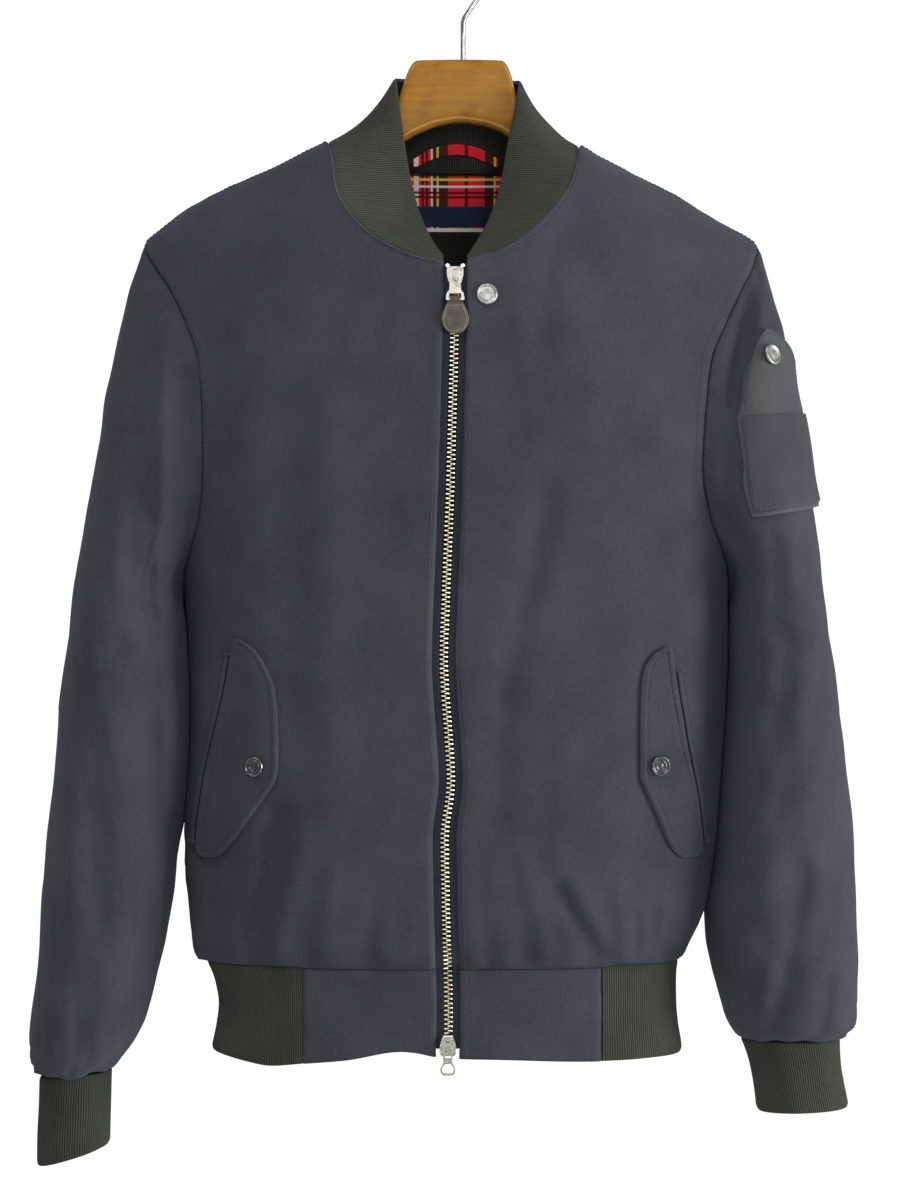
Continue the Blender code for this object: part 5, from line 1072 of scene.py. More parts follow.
# fronts
front = {"columns": 96, "rows": 156, "swell": 0.55, "gather": 1.5, "topstitch": 4.2,
         "hemCloth": {"left": 90.0, "right": 98.0}}
frontFlat = {"left": ((0.29, 0.62), 0.111), "right": ((0.29, 0.62), 0.113)}
grids, trees = {}, {}
for hand, seed in (("left", 11), ("right", 23)):
    grid = frontGrid(hand, front["columns"], front["rows"])
    u, v, reach = measured(grid)
    calm = calmed(reach, 30.0, 0.2)
    amount = (ripple(u, v, 95.0, 6, seed) * front["swell"] + ripple(u, v, 34.0, 5, seed + 1) * 0.20) * calm
    amount += hemGathers(u, reach["low"], 5, seed + 2, front["gather"])
    placketEdge = seamRelief(reach["start"], v, 9.0, 0.16, seed + 3, roll=0.8, ridge=0.45)
    amount += placketEdge + stitchGroove(reach["start"], front["topstitch"])
    overRib = smoothStep((u[0] - front["hemCloth"][hand]) / 8.0)[None, :]      # the seam lies flat over the cloth hem
    amount += seamRelief(reach["low"], u, 10.0, 0.22, seed + 5) * (0.02 + 0.98 * overRib)
    amount += seamRelief(reach["high"], u, 10.0, 0.22, seed + 7, ridge=0.0) + stitchGroove(reach["high"], 4.4, 0.6)
    amount += 0.9 * np.exp(-((reach["high"] - 2.2) / 1.3) ** 2)     # the neck seam stands up as a roll
    amount += seamRelief(reach["end"], v, 12.0, 0.30, seed + 9)
    grids[hand] = displaced(grid, amount)
    made = makeCloth("front" + hand.title(), grids[hand], body["cloth"], finish["wool"], plain=("low",))
    flat, area = frontFlat[hand]
    dress(made, "front_" + hand, "wool", flat, area)
    trees[hand] = surfaceTree(made)
    sew(*lineInside(grids[hand], "start", front["topstitch"], span=(0.0, 0.985)))
    sew(*lineInside(grids[hand], "high", 3.2, span=(0.05, 1.0)))
    for inset in (2.0, 7.5) if hand == "right" else (2.0,):
        sew(*lineInside(grids[hand], "end", inset, span=(0.48, 0.97)))
print("stage: fronts")

# back
backPiece = {"columns": 150, "rows": 150, "swell": 0.8, "gather": 1.5}
grid = backGrid(backPiece["columns"], backPiece["rows"])
u, v, reach = measured(grid)
amount = ripple(u, v, 110.0, 6, 41) * backPiece["swell"] + ripple(u, v, 36.0, 5, 42) * 0.2
amount *= calmed(reach, 30.0, 0.2)
amount += hemGathers(u, reach["low"], 6, 43, backPiece["gather"])
for side, along in (("low", u), ("high", u), ("start", v), ("end", v)):
    amount += seamRelief(reach[side], along, 11.0, 0.25, 44)
amount += stitchGroove(reach["high"], 3.2)
grids["back"] = displaced(grid, amount, outward=(0, 1, 0))
made = makeCloth("backPanel", grids["back"], body["cloth"], finish["wool"], outward=(0, 1, 0))
dress(made, "back", "wool", (0.50, 0.62), 0.245)
trees["back"] = surfaceTree(made)
sew(*lineInside(grids["back"], "high", 3.2, outward=(0, 1, 0)))
for side in ("start", "end"):
    sew(*lineInside(grids["back"], side, 2.0, outward=(0, 1, 0), span=(0.48, 0.97)))
print("stage: back")

# sleeves and cuffs
def seamAllowance(hand, edge):
    # the sleeve's top edge is folded in behind the body's
    at = np.linspace(0.0, 22.0, len(edge))
    points = armholePoints(hand, at)
    face = np.where(at <= 11.0, -1.0, 1.0)
    inward = np.array([-12.0, 0.0, 0.0]) + points * np.array([0.0, 0.0, 1.0]) + np.array([0.0, 0.0, -25.0]) - points
    along = np.stack([np.full(len(at), 1.0 if hand == "left" else -1.0), 0.35 * face, np.zeros(len(at))], -1)
    along /= np.linalg.norm(along, axis=-1, keepdims=True)
    inward -= (inward * along).sum(-1, keepdims=True) * along
    inward /= np.linalg.norm(inward, axis=-1, keepdims=True)
    return np.stack([edge + along * a + inward * b for a, b in ((8.0, 4.4), (4.5, 4.4), (1.8, 3.6), (0.5, 2.2))])


sleevePiece = {"columns": 132, "step": 3.6, "swell": 0.8, "gather": 1.3}
sleeveFlat = {"left": ((0.42, 0.59), 0.178), "right": ((0.41, 0.57), 0.169)}
cuff = {"thick": 2.6, "columns": 132, "rows": 22}
cuffFlat = {"left": (0.197, 0.062), "right": (0.225, 0.052)}
for hand, seed in (("left", 61), ("right", 73)):
    grid = sleeveGrid(hand, sleevePiece["columns"], sleevePiece["step"])
    u, v, reach = measured(grid)
    calm = calmed(reach, 26.0) * np.clip(reach["low"] / 30.0, 0.2, 1.0)
    amount = (ripple(u, v, 85.0, 6, seed) * sleevePiece["swell"] + ripple(u, v, 32.0, 5, seed + 1) * 0.25) * calm
    gather = np.exp(-(reach["high"] / 30.0) ** 2) * smoothStep(reach["high"] / 6.0) * calm
    amount += ripple(u, 0.0 * v, 22.0, 5, seed + 2) * sleevePiece["gather"] * gather
    amount += seamRelief(reach["low"], u, 13.0, 0.35, seed + 3, ridge=0.5) * np.clip(calm + 0.4, 0.0, 1.0)
    amount += seamRelief(reach["high"], u, 9.0, 0.25, seed + 5)
    underarm = np.minimum(reach["start"], reach["end"])
    amount += seamRelief(underarm, v, 8.0, 0.10, seed + 7, roll=0.5, ridge=0.2)
    amount[:, -1] = amount[:, 0]
    outwardHint = grid - grid.mean(axis=1, keepdims=True)
    grid = displaced(grid, amount, True, outwardHint)
    grid[:, -1] = grid[:, 0]
    grids["sleeve" + hand.title()] = grid
    sew(*lineInside(grid, "low", 1.8, True, outwardHint))
    sew(*lineInside(grid, "high", 2.4, True, outwardHint))
    turnedIn = seamAllowance(hand, grid[0])
    grid = np.concatenate([turnedIn, grid])
    outwardHint = np.concatenate([np.broadcast_to(outwardHint[:1], turnedIn.shape), outwardHint])
    made = makeCloth("sleeve" + hand.title(), grid, body["cloth"], finish["wool"], True, outwardHint)
    flat, area = sleeveFlat[hand]
    dress(made, "sleeve_" + hand, "wool", flat, area)
    trees["sleeve" + hand.title()] = surfaceTree(made)

    grid = cuffGrid(hand, cuff["columns"], cuff["rows"])
    u, v, reach = measured(grid)
    amount = ripple(u, 0.6 * v, 30.0, 5, seed + 11) * 0.35 * calmed(reach, 20.0)
    amount += rolledIn(reach["high"], 0.9, 2.4) + rolledIn(reach["low"], 0.6, 1.8)
    amount[:, -1] = amount[:, 0]
    outwardHint = grid - grid.mean(axis=1, keepdims=True)
    grid = displaced(grid, amount, True, outwardHint)
    grid[:, -1] = grid[:, 0]
    made = makeCloth("cuff" + hand.title(), grid, cuff["thick"], finish["rib"], True, outwardHint, steadyMap=True,
                     roundRim=0.8)
    dress(made, "cuff_" + hand, "rib", cuffFlat[hand])
print("stage: sleeves and cuffs")

# collar
grid = collarGrid(collar["rows"], 8)
u, v, reach = measured(grid)
amount = ripple(u, 0.5 * v, 60.0, 5, 91) * 0.5 * np.clip(reach["low"] / 12.0, 0.0, 1.0)
amount += rolledIn(reach["high"], 1.1, 2.6) + rolledIn(reach["low"], 0.5, 1.6)
outwardHint = grid - np.array([-6.0, 8.0, -260.0])
grid = displaced(grid, amount, outward=outwardHint)
grids["collar"] = grid
# its lower edge is sewn in behind the body's
first = grid[0]
rear = (np.arange(len(first)) > 9 * 8) & (np.arange(len(first)) < len(first) - 1 - 9 * 8)


def behindBody(down, inside):
    # points under the body's own made cloth, a little below the collar's seam
    found = []
    for point, atBack in zip(first, rear):
        face = "back" if atBack else "front"
        low = bodyOut(face, point[0], point[2] - down, 0.0)
        normal = bodyOut(face, point[0], point[2] - down, 1.0) - low
        start = Vector((low + normal * 16.0) * mm)
        hits = [trees[name].ray_cast(start, Vector(-normal), 0.034)[0] for name in ("left", "right", "back")]
        hits = [np.array(hit) / mm for hit in hits if hit is not None]
        if hits:
            low = max(hits, key=lambda hit: float((hit - low) @ normal))
        found.append(low - normal * inside)
    found = np.array(found)
    for _ in range(3):
        found[1:-1] = (found[:-2] + 2.0 * found[1:-1] + found[2:]) / 4.0
    return found


deep, near = behindBody(8.0, 3.0), behindBody(4.0, 2.9)
turnedIn = [deep, near, mix(near, first, 0.42), mix(near, first, 0.78)]
grid = np.concatenate([np.stack(turnedIn), grid])
outwardHint = np.concatenate([np.broadcast_to(outwardHint[:1], (4,) + outwardHint.shape[1:]), outwardHint])


def foldLength(points, fold, reach=110, beyond=60.0):
    # how far along the fold each point lies, so that the ribs stand square to it
    first, last = fold[0] - fold[3], fold[-1] - fold[-4]
    line = np.concatenate([[fold[0] + first / np.linalg.norm(first) * beyond], fold,
                           [fold[-1] + last / np.linalg.norm(last) * beyond]])
    step = line[1:] - line[:-1]
    size = np.linalg.norm(step, axis=1)
    start = np.concatenate([[0.0], np.cumsum(size)[:-1]])
    along = np.zeros(points.shape[:2])
    for column in range(points.shape[1]):
        low, high = max(0, column - reach), min(len(step), column + reach)
        away = points[:, column, None, :] - line[None, low:high]
        share = np.clip((away * step[low:high]).sum(-1) / size[low:high] ** 2, 0.0, 1.0)
        miss = np.linalg.norm(away - share[..., None] * step[low:high], axis=-1)
        best = miss.argmin(1)
        along[:, column] = (start[low:high] + share * size[low:high])[np.arange(len(points)), best]
    for _ in range(4):
        along[:, 1:-1] = (along[:, :-2] + 2.0 * along[:, 1:-1] + along[:, 2:]) / 4.0
    return along - along.mean()


made = makeCloth("ribCollar", grid, collar["thick"], finish["rib"], outward=outwardHint,
                 mapAcross=foldLength(grid, grid[-1]),
                 roundRim=1.0)
dress(made, "collar", "rib", (0.50, 0.078), 0.024)
trees["collar"] = surfaceTree(made)
print("stage: collar")

# hem: cloth beside the zip, rib knit all the way round behind
for hand, seed in (("left", 101), ("right", 107)):
    grid = hemFrontGrid(hand, 44, 26)
    u, v, reach = measured(grid)
    amount = ripple(u, v, 50.0, 5, seed) * 0.25
    for side, along in (("start", v), ("end", v), ("low", u)):
        amount += seamRelief(reach[side], along, 7.0, 0.12, seed + 1, roll=0.9)
    amount += stitchGroove(reach["start"], 4.2)
    grids["hem" + hand.title()] = displaced(grid, amount)
    top = grids["hem" + hand.title()][-1]
    turns = ((0.25, 1.0), (1.2, 2.6), (6.0, 2.6))       # how far up and how far in
    turnedIn = [bodyOut("front", top[:, 0], top[:, 2] + up, -inside) for up, inside in turns]
    grid = np.concatenate([grids["hem" + hand.title()], np.stack(turnedIn)])
    made = makeCloth("hemFront" + hand.title(), grid, body["cloth"], finish["wool"], plain=("high",))
    dress(made, "hem_front_" + hand, "wool", (0.095, 0.07))
    for side, inset in (("start", 4.2), ("low", 1.6)):
        sew(*lineInside(grids["hem" + hand.title()], side, inset))
grid = hemRibGrid(26, 56, 150)
u, v, reach = measured(grid)
amount = ripple(u, 0.4 * v, 46.0, 6, 113) * 0.5 * calmed(reach, 12.0)
amount += rolledIn(reach["high"], 0.9, 2.4) + rolledIn(reach["low"], 0.7, 1.8)
grid = displaced(grid, amount, outward=grid - np.array([-12.0, 0.0, -748.0]))
inward = np.array([-12.0, 0.0]) - grid[0][:, :2]
inward = np.pad(inward / np.linalg.norm(inward, axis=1)[:, None], ((0, 0), (0, 1)))
turnedIn = [grid[0] + inward * inside + (0.0, 0.0, up) for up, inside in ((6.5, 2.4), (1.4, 1.9), (0.4, 0.8))]
grid = np.concatenate([np.stack(turnedIn), grid])
outwardHint = grid - np.array([-12.0, 0.0, -748.0])
made = makeCloth("hemRib", grid, hem["thick"], finish["rib"], outward=outwardHint, steadyMap=True, roundRim=0.8)
dress(made, "hem_rib", "rib", (0.58, 0.067))
print("stage: hem")


# what lies on the fronts
def onFront(x, height, out):
    # points over the made fronts, with smooth normals of the plain form
    x, height = np.broadcast_arrays(np.asarray(x, float), np.asarray(height, float))
    step = 2.0
    across = bodyAt("front", x + step, height) - bodyAt("front", x - step, height)
    up = bodyAt("front", x, height + step) - bodyAt("front", x, height - step)
    normal = np.cross(across, up)
    normal /= np.linalg.norm(normal, axis=-1, keepdims=True)
    points = np.empty(x.shape + (3,))
    for index in np.ndindex(*x.shape):
        y = hitFront(("left", "right"), x[index], height[index])
        points[index] = (x[index], bodyAt("front", x[index], height[index])[1] if y is None else y, height[index])
    return points + normal * (np.asarray(out) if np.ndim(out) == 0 else np.asarray(out)[..., None]), normal


flap = {
    "lift": 1.1, "thick": 2.0, "columns": 34, "rows": 90, "topstitch": 4.6,
    "cut": {"left": ((0.061, 0.182), 0.0067), "right": ((0.043, 0.164), 0.0049)},
    "left": table(
        "height inner outer",
        (-641.5, -177.5, -170.5), (-639.5, -181.5, -165.5), (-634, -182.8, -160), (-625, -182.4, -152.5),
        (-613, -181, -144.2), (-601, -179.2, -135.8), (-587, -177, -126.6), (-580, -175.6, -125),
        (-564, -171.5, -125), (-546, -167, -125.4), (-527, -162.5, -127.2), (-512, -159.8, -132.5),
        (-501, -157.8, -139), (-495, -156.5, -146), (-491.5, -155.5, -151.5)),
    "right": table(
        "height inner outer",
        (-641, 149, 158.8), (-638.5, 144.5, 162.8), (-633, 140.2, 164), (-625, 136.3, 163.2),
        (-614, 132, 161.8), (-603, 127, 160.2), (-592, 121.7, 158.2), (-586, 119.3, 156.8),
        (-565, 119, 152.2), (-545, 119.1, 148.8), (-527, 119.7, 145.8), (-512, 121.8, 143.6),
        (-502, 128.5, 142.2), (-496.5, 137.5, 141.2)),
}
welt = {"gap": 1.1, "width": 3.2, "thick": 1.2,
        "cut": {"left": ((0.01, 0.138), 0.0009), "right": ((0.01, 0.127), 0.0007)}}


def flapGrid(hand):
    rows = flap[hand]
    ends = (1.0 - np.cos(np.linspace(0.0, math.pi, flap["rows"]))) / 2.0
    height = mix(rows["height"][0], rows["height"][-1], ends)[:, None]
    sideways = (1.0 - np.cos(np.linspace(0.0, math.pi, flap["columns"]))) / 2.0
    sideways = mix(sideways, np.linspace(0.0, 1.0, flap["columns"]), 0.6)[None, :]
    x = mix(read(rows, "height", "inner", height), read(rows, "height", "outer", height), sideways)
    points, normal = onFront(x, height + 0.0 * x, flap["lift"] + flap["thick"])
    for _ in range(3):      # the flap bridges the small swells under it
        points[1:-1, 1:-1, 1] = np.minimum(points[1:-1, 1:-1, 1], (points[:-2, 1:-1, 1] + points[2:, 1:-1, 1]
                                           + points[1:-1, :-2, 1] + points[1:-1, 2:, 1]) / 4.0)
    u, v = gridLengths(points)
    rim = np.minimum(np.minimum(x - x[:, :1], x[:, -1:] - x), np.minimum(height - height[0], height[-1] - height) * 1.2)
    amount = rolledIn(rim, 1.2, 2.2) + 0.6 * np.exp(-((rim - 2.6) / 1.3) ** 2)
    swell = ripple(u, v, 40.0, 5, 131) * 0.35 * np.clip(rim / 6.0, 0.0, 1.0)
    amount += swell + stitchGroove(rim, flap["topstitch"], 0.5)
    return points + normal * amount[..., None]


for hand, out in (("left", -1.0), ("right", 1.0)):
    grid = flapGrid(hand)
    grids["flap" + hand.title()] = grid
    made = makeCloth("pocketFlap" + hand.title(), grid, flap["thick"], finish["wool"], edgeFade=3.0, roundRim=0.6)
    dress(made, "pocket_flap_" + hand, "wool", *flap["cut"][hand], rests="front_" + hand)
    trees["flap" + hand.title()] = surfaceTree(made)
    for side in ("start", "end"):
        sew(*lineInside(grid, side, flap["topstitch"], span=(0.09, 0.93)))
        sew(*lineInside(grid, side, 1.4, span=(0.5, 0.9)))
    slant = "inner" if hand == "left" else "outer"
    rows = flap[hand]
    height = np.linspace(rows["height"][2], rows["height"][-3], 90)[:, None]
    x = read(rows, "height", slant, height) + out * (welt["gap"] + welt["width"] * np.linspace(0.0, 1.0, 7)[None, :])
    points, normal = onFront(x, height + 0.0 * x, 1.1 + welt["thick"])
    edge = np.array([0.7, 0.15, 0, 0, 0, 0.15, 0.7])[None, :, None]
    grid = points - normal * edge
    made = makeCloth("pocketWelt" + hand.title(), grid, welt["thick"], finish["wool"], edgeFade=2.0)
    dress(made, "pocket_welt_" + hand, "wool", *welt["cut"][hand], rests="front_" + hand)
    far = read(rows, "height", slant, height[:, 0]) + out * (welt["gap"] + welt["width"] + 1.6)
    sew(*onFront(far, height[:, 0], 0.0))
    for end in (-3, 2):     # bar tacks at the pocket's two ends
        base = rows["height"][end] + (3.0 if end == 2 else -1.0)
        for k in range(7):
            tackX = read(rows, "height", slant, base) + out * (k * 0.9 - 1.0)
            sew(*onFront(np.full(3, tackX), base + np.linspace(-1.8, 1.8, 3), 2.3), pitch=3.4, rise=0.3)
print("stage: pockets")


# round metal and plastic fittings, turned from a circle
def pick(made, test):
    # deselect all, then select the faces whose middle passes the test
    bpy.ops.mesh.select_all(action="DESELECT")
    work = bmesh.from_edit_mesh(made.data)
    work.faces.ensure_lookup_table()
    for face in work.faces:
        face.select_set(test(face))
    bmesh.update_edit_mesh(made.data)


def startPiece(add, name, **choices):
    bpy.ops.object.select_all(action="DESELECT")
    add(**choices)
    made = bpy.context.object
    made.name = made.data.name = name
    return made


def turnedPiece(name, profile, matrix, materials, rimAt=None):
    # profile runs from the back's rim to the middle of the face: radius and height
    made = startPiece(bpy.ops.mesh.primitive_circle_add, name, vertices=48, radius=profile[0][0] * mm, fill_type="NGON")
    bpy.ops.object.mode_set(mode="EDIT")
    bpy.ops.mesh.select_mode(type="FACE")
    bpy.ops.mesh.select_all(action="SELECT")
    for (before, low), (after, high) in zip(profile[:-1], profile[1:]):
        bpy.ops.mesh.extrude_region_move(TRANSFORM_OT_translate={"value": (0.0, 0.0, (high - low) * mm)})
        bpy.ops.transform.resize(value=(after / before, after / before, 1.0))
    bpy.ops.mesh.select_all(action="SELECT")
    bpy.ops.mesh.normals_make_consistent(inside=False)
    bpy.ops.object.mode_set(mode="OBJECT")
    for material in materials:
        made.data.materials.append(material)
    if rimAt:
        for face in made.data.polygons:
            away = math.hypot(face.center.x, face.center.y) / mm
            face.material_index = 1 if away > rimAt[0] and face.center.z / mm > rimAt[1] else 0
    bevelEdges(made, 0.18, 2, 32.0)
    applyModifiers(made)
    made.data.transform(matrix)
    made.data.shade_smooth()
    made.data.set_sharp_from_angle(angle=math.radians(50.0))
    return made


def seatMatrix(point, normal):
    turn = Vector((0.0, 0.0, 1.0)).rotation_difference(Vector(normal)).to_matrix().to_4x4()
    return Matrix.Translation(Vector(point) * mm) @ turn


snapProfile = ((7.0, 0.0), (7.4, 0.9), (7.25, 1.8), (6.7, 2.4), (6.0, 2.45), (5.4, 2.0), (4.7, 1.75), (2.6, 2.0),
               (0.6, 2.15))
buttonProfile = ((5.6, 0.0), (6.7, 1.2), (6.75, 2.3), (6.4, 2.9), (6.0, 3.0), (5.3, 2.5), (4.4, 2.1), (3.9, 2.5),
                 (3.3, 2.55), (2.8, 2.1),
                 (1.9, 1.9), (1.2, 2.2), (0.4, 2.3))
snapPlace = {"x": 15.9, "height": -258.5}
buttonPlace = {"left": (-141.7, -578.2), "right": (133.6, -577.6)}


def seatOver(treeNames, x, height, radius, gap):
    # where a round piece rests: the front's slope, clear of every swell under it
    angle = np.linspace(0.0, 2.0 * math.pi, 16, endpoint=False)
    ringX, ringH = x + radius * np.cos(angle), height + radius * np.sin(angle)
    ringY = np.array([hitFront(treeNames, a, b) for a, b in zip(ringX, ringH)])
    slope = np.linalg.lstsq(np.stack([ringX - x, ringH - height, np.ones(16)], -1), ringY, rcond=None)[0]
    normal = np.array([slope[0], -1.0, slope[1]]) / math.sqrt(1.0 + slope[0] ** 2 + slope[1] ** 2)
    middle = hitFront(treeNames, x, height)
    lowest = min(middle, float((ringY - slope[0] * (ringX - x) - slope[1] * (ringH - height)).min()))
    return seatMatrix((x, lowest - gap, height), normal)


made = turnedPiece("neckSnap", snapProfile, seatOver(("right",), snapPlace["x"], snapPlace["height"], 6.5, 0.1),
                   [finish["snapMetal"]])
fit(made, "jacket", "snap_metal", "neck_snap")
for hand in ("left", "right"):
    x, height = buttonPlace[hand]
    made = turnedPiece("pocketButton" + hand.title(), buttonProfile,
                       seatOver(("flap" + hand.title(),), x, height, 5.0, 0.1), [finish["horn"], finish["rim"]],
                       rimAt=(5.9, 1.6))
    fit(made, "jacket", "horn", "pocket_button_" + hand)
    side = -1.0 if hand == "left" else 1.0
    for turn in np.linspace(0.0, 2.0 * math.pi, 36, endpoint=False):    # worked buttonhole beside the button
        holeX = x - 8.6 + 7.4 * math.cos(turn)
        holeH = height + 0.4 + 1.25 * math.sin(turn)
        y = hitFront(("flap" + hand.title(),), holeX, holeH)
        if y is not None:
            wayOut = np.array([[holeX - 0.5 * math.cos(turn), y, holeH - 1.0 * math.sin(turn)],
                               [holeX + 0.5 * math.cos(turn), y, holeH + 1.0 * math.sin(turn)]])
            sew(wayOut, np.array([[0.0, -1.0, 0.0]] * 2), pitch=2.0, rise=0.25)


# sleeve tab with its label
tab = {
    "lift": 0.9, "thick": 1.6, "labelThick": 0.9, "labelSpan": (0.65, 0.985), "snap": (0.265, 0.36), "stand": 3.0,
    "rows": table(
        "along innerHeight innerTurn outerHeight outerTurn",
        (0, -279, -52, -279.5, -44), (1, -289, -62, -288, -28), (2, -305, -77, -301, -6),
        (3, -318, -80.5, -316, -2), (4, -342, -85, -338, 0), (5, -372, -88, -366, 0),
        (6, -409, -96, -399, 2)),
}


def tabPoint(along, across, lift):
    rows = tab["rows"]
    at = np.asarray(along, float) * rows["along"][-1]
    part = {column: np.interp(at, rows["along"], rows[column]) for column in rows}
    height = mix(part["innerHeight"], part["outerHeight"], across)
    turn = np.radians(mix(part["innerTurn"], part["outerTurn"], across))
    base = sleevePoint("right", height, turn)
    roundWay = sleevePoint("right", height, turn + 0.04) - sleevePoint("right", height, turn - 0.04)
    up = sleevePoint("right", height + 2.0, turn) - sleevePoint("right", height - 2.0, turn)
    normal = np.cross(roundWay, up)
    normal /= np.linalg.norm(normal, axis=-1, keepdims=True)
    middle = np.stack(np.broadcast_arrays(sleeveRing("right", height)[0], 0.0 * height, height), -1)
    normal = np.where(((base - middle) * normal).sum(-1, keepdims=True) < 0.0, -normal, normal)
    for index in np.ndindex(*base.shape[:-1]):      # stand on the made sleeve, not on its plain form
        start = Vector((base[index] + normal[index] * 12.0) * mm)
        hit = trees["sleeveRight"].ray_cast(start, Vector(-normal[index]), 0.03)[0]
        if hit is not None:
            base[index] = np.array(hit) / mm
    stand = lift + tab["stand"] * smoothStep((across - 0.6) / 0.4) * smoothStep(np.asarray(along) / 0.3)
    return base + normal * stand[..., None], normal


def settle(points, passes=4):
    # ease out the bumps that a piece would not follow
    for _ in range(passes):
        points[1:-1, 1:-1] = (points[:-2, 1:-1] + points[2:, 1:-1] + points[1:-1, :-2] + points[1:-1, 2:]) / 4.0
    return points


outTab = np.array((0.6, -0.8, 0.0))
tabPieces = {
    "sleeveTab": {
        "node": "sleeve_tab", "slot": "nylon", "along": (1.0, 0.0, 84), "across": (0.0, 1.0, 48),
        "lift": tab["lift"] + tab["thick"], "thick": tab["thick"], "endShare": 1.5, "roll": (0.7, 1.8),
        "groove": (3.0, 0.2), "edgeFade": 3.0, "round": 0.5, "flat": (0.088, 0.146), "area": 0.0098,
        "rests": "sleeve_right", "stitches": {"start": (0.02, 0.86), "end": (0.02, 0.86), "low": (0.04, 0.96)},
        "pitch": None},
    "sleeveTabLabel": {
        "node": "sleeve_tab_label", "slot": "satin", "along": (*tab["labelSpan"][::-1], 44), "across": (0.03, 0.96, 44),
        "lift": tab["lift"] + tab["thick"] + tab["labelThick"] + 0.45, "thick": tab["labelThick"], "endShare": 1.0,
        "roll": (0.4, 1.4), "groove": (2.0, 0.15), "edgeFade": 2.0, "round": 0.3, "flat": (0.082, 0.074),
        "area": 0.0056, "rests": "sleeve_tab",
        "stitches": {side: (0.0, 1.0) for side in ("start", "end", "low", "high")}, "pitch": 2.6},
}
for name, piece in tabPieces.items():
    along, across = np.meshgrid(np.linspace(*piece["along"]), np.linspace(*piece["across"]), indexing="ij")
    grid, normal = tabPoint(along, across, piece["lift"])
    grid = settle(grid)
    reach = edgeReach(grid)
    reach["high"] = reach["high"] * piece["endShare"]
    rim = np.minimum.reduce(list(reach.values()))
    grid = grid + normal * (rolledIn(rim, *piece["roll"]) + stitchGroove(rim, *piece["groove"]))[..., None]
    made = makeCloth(name, grid, piece["thick"], finish[piece["slot"]], outward=outTab, edgeFade=piece["edgeFade"],
                     roundRim=piece["round"])
    dress(made, piece["node"], piece["slot"], piece["flat"], piece["area"], rests=piece["rests"])
    for side, span in piece["stitches"].items():
        sew(*lineInside(grid, side, piece["groove"][0], outward=outTab, span=span), run="ribThread",
            pitch=piece["pitch"])
point, normal = tabPoint(np.array([tab["snap"][0]]), np.array([tab["snap"][1]]), tab["lift"] + tab["thick"] + 0.5)
made = turnedPiece("sleeveTabSnap", snapProfile, seatMatrix(point[0], normal[0]), [finish["snapMetal"]])
fit(made, "jacket", "snap_metal", "sleeve_tab_snap")
print("stage: sleeve tab")


# inside of the neck
def hitInside(name, x, height):
    # the depth at which a line from the jacket's middle meets a made piece behind it
    hit = trees[name].ray_cast(Vector((x * mm, 0.0, height * mm)), Vector((0.0, 1.0, 0.0)))[0]
    return hit.y / mm if hit is not None else math.inf


def insideBack(x, height, out, name):
    return np.stack([x, np.vectorize(lambda *place: hitInside(name, *place) - out)(x, height), height], -1)


insidePieces = {
    "liningYoke": {
        "node": "lining_yoke", "slot": "tartan", "finish": "tartan", "over": "back", "left": -58.0, "right": 46.0,
        "low": -246.0, "high": -156.0, "out": 1.4, "thick": 1.0, "flat": (0.105, 0.098), "sewn": ()},
    "neckLabel": {
        "node": "neck_label", "slot": "navy_satin", "finish": "navySatin", "over": "liningYoke", "left": -42.0,
        "right": 30.0,
        "low": -197.2, "high": -183.5, "out": 1.3, "thick": 0.9, "flat": (0.072, 0.0155), "sewn": ("start", "end")},
    "neckLabelLower": {
        "node": "neck_label_lower", "slot": "satin", "finish": "blackSatin", "over": "liningYoke", "left": -30.0,
        "right": 15.0,
        "low": -236.0, "high": -201.0, "out": 1.3, "thick": 0.9, "flat": (0.046, 0.037),
        "sewn": ("start", "end", "low", "high")},
}
for name, piece in insidePieces.items():
    height, x = np.meshgrid(np.linspace(piece["low"], piece["high"], 40),
                            np.linspace(piece["left"], piece["right"], 60), indexing="ij")
    grid = settle(insideBack(x, height, piece["out"], piece["over"]), 2)
    u, v = gridLengths(grid)
    grid[..., 1] -= ripple(u, v, 26.0, 4, 151) * 0.12
    made = makeCloth(name, grid, piece["thick"], finish[piece["finish"]], edgeFade=2.0)
    dress(made, piece["node"], piece["slot"], piece["flat"], rests="back")
    trees[name] = surfaceTree(made)
    for side in piece["sewn"]:
        sew(*lineInside(grid, side, 1.5), run="ribThread", pitch=2.4)
edge, across = np.meshgrid(np.linspace(-3.5, 3.5, 9), np.linspace(-1.0, 1.0, 60), indexing="ij")
x, height = -5.0 + 30.0 * across, -155.5 + edge + 10.0 * (1.0 - across ** 2)
walls = ("liningYoke", "back", "collar")
wall = np.vectorize(lambda *place: min(hitInside(name, *place) for name in walls))(x, height)
wall = np.where(np.isfinite(wall), wall, wall.min(axis=0, keepdims=True))
wall = np.where(np.isfinite(wall), wall, wall.min())
loop = np.stack([x, wall - 2.2, height], -1)
made = makeCloth("neckLoop", settle(loop, 6), 1.2, finish["tartan"], edgeFade=1.5)
dress(made, "neck_loop", "tartan", (0.076, 0.0105), 0.0006, rests="back")
print("stage: inside of the neck")


# zip: woven tapes, meshed teeth, stops, and finishes for the sliders and pulls
zipper = {
    "tapeHalf": 11.0, "tapeThick": 0.9, "tapeDepth": 2.8, "tapeTop": -236.5, "tapeLow": -769.5,
    "chainTop": -252.8, "chainLow": -761.2, "pitch": 3.1, "toothWide": 3.7, "toothTall": 1.65, "toothDeep": 3.1,
    "toothReach": 1.15,
}


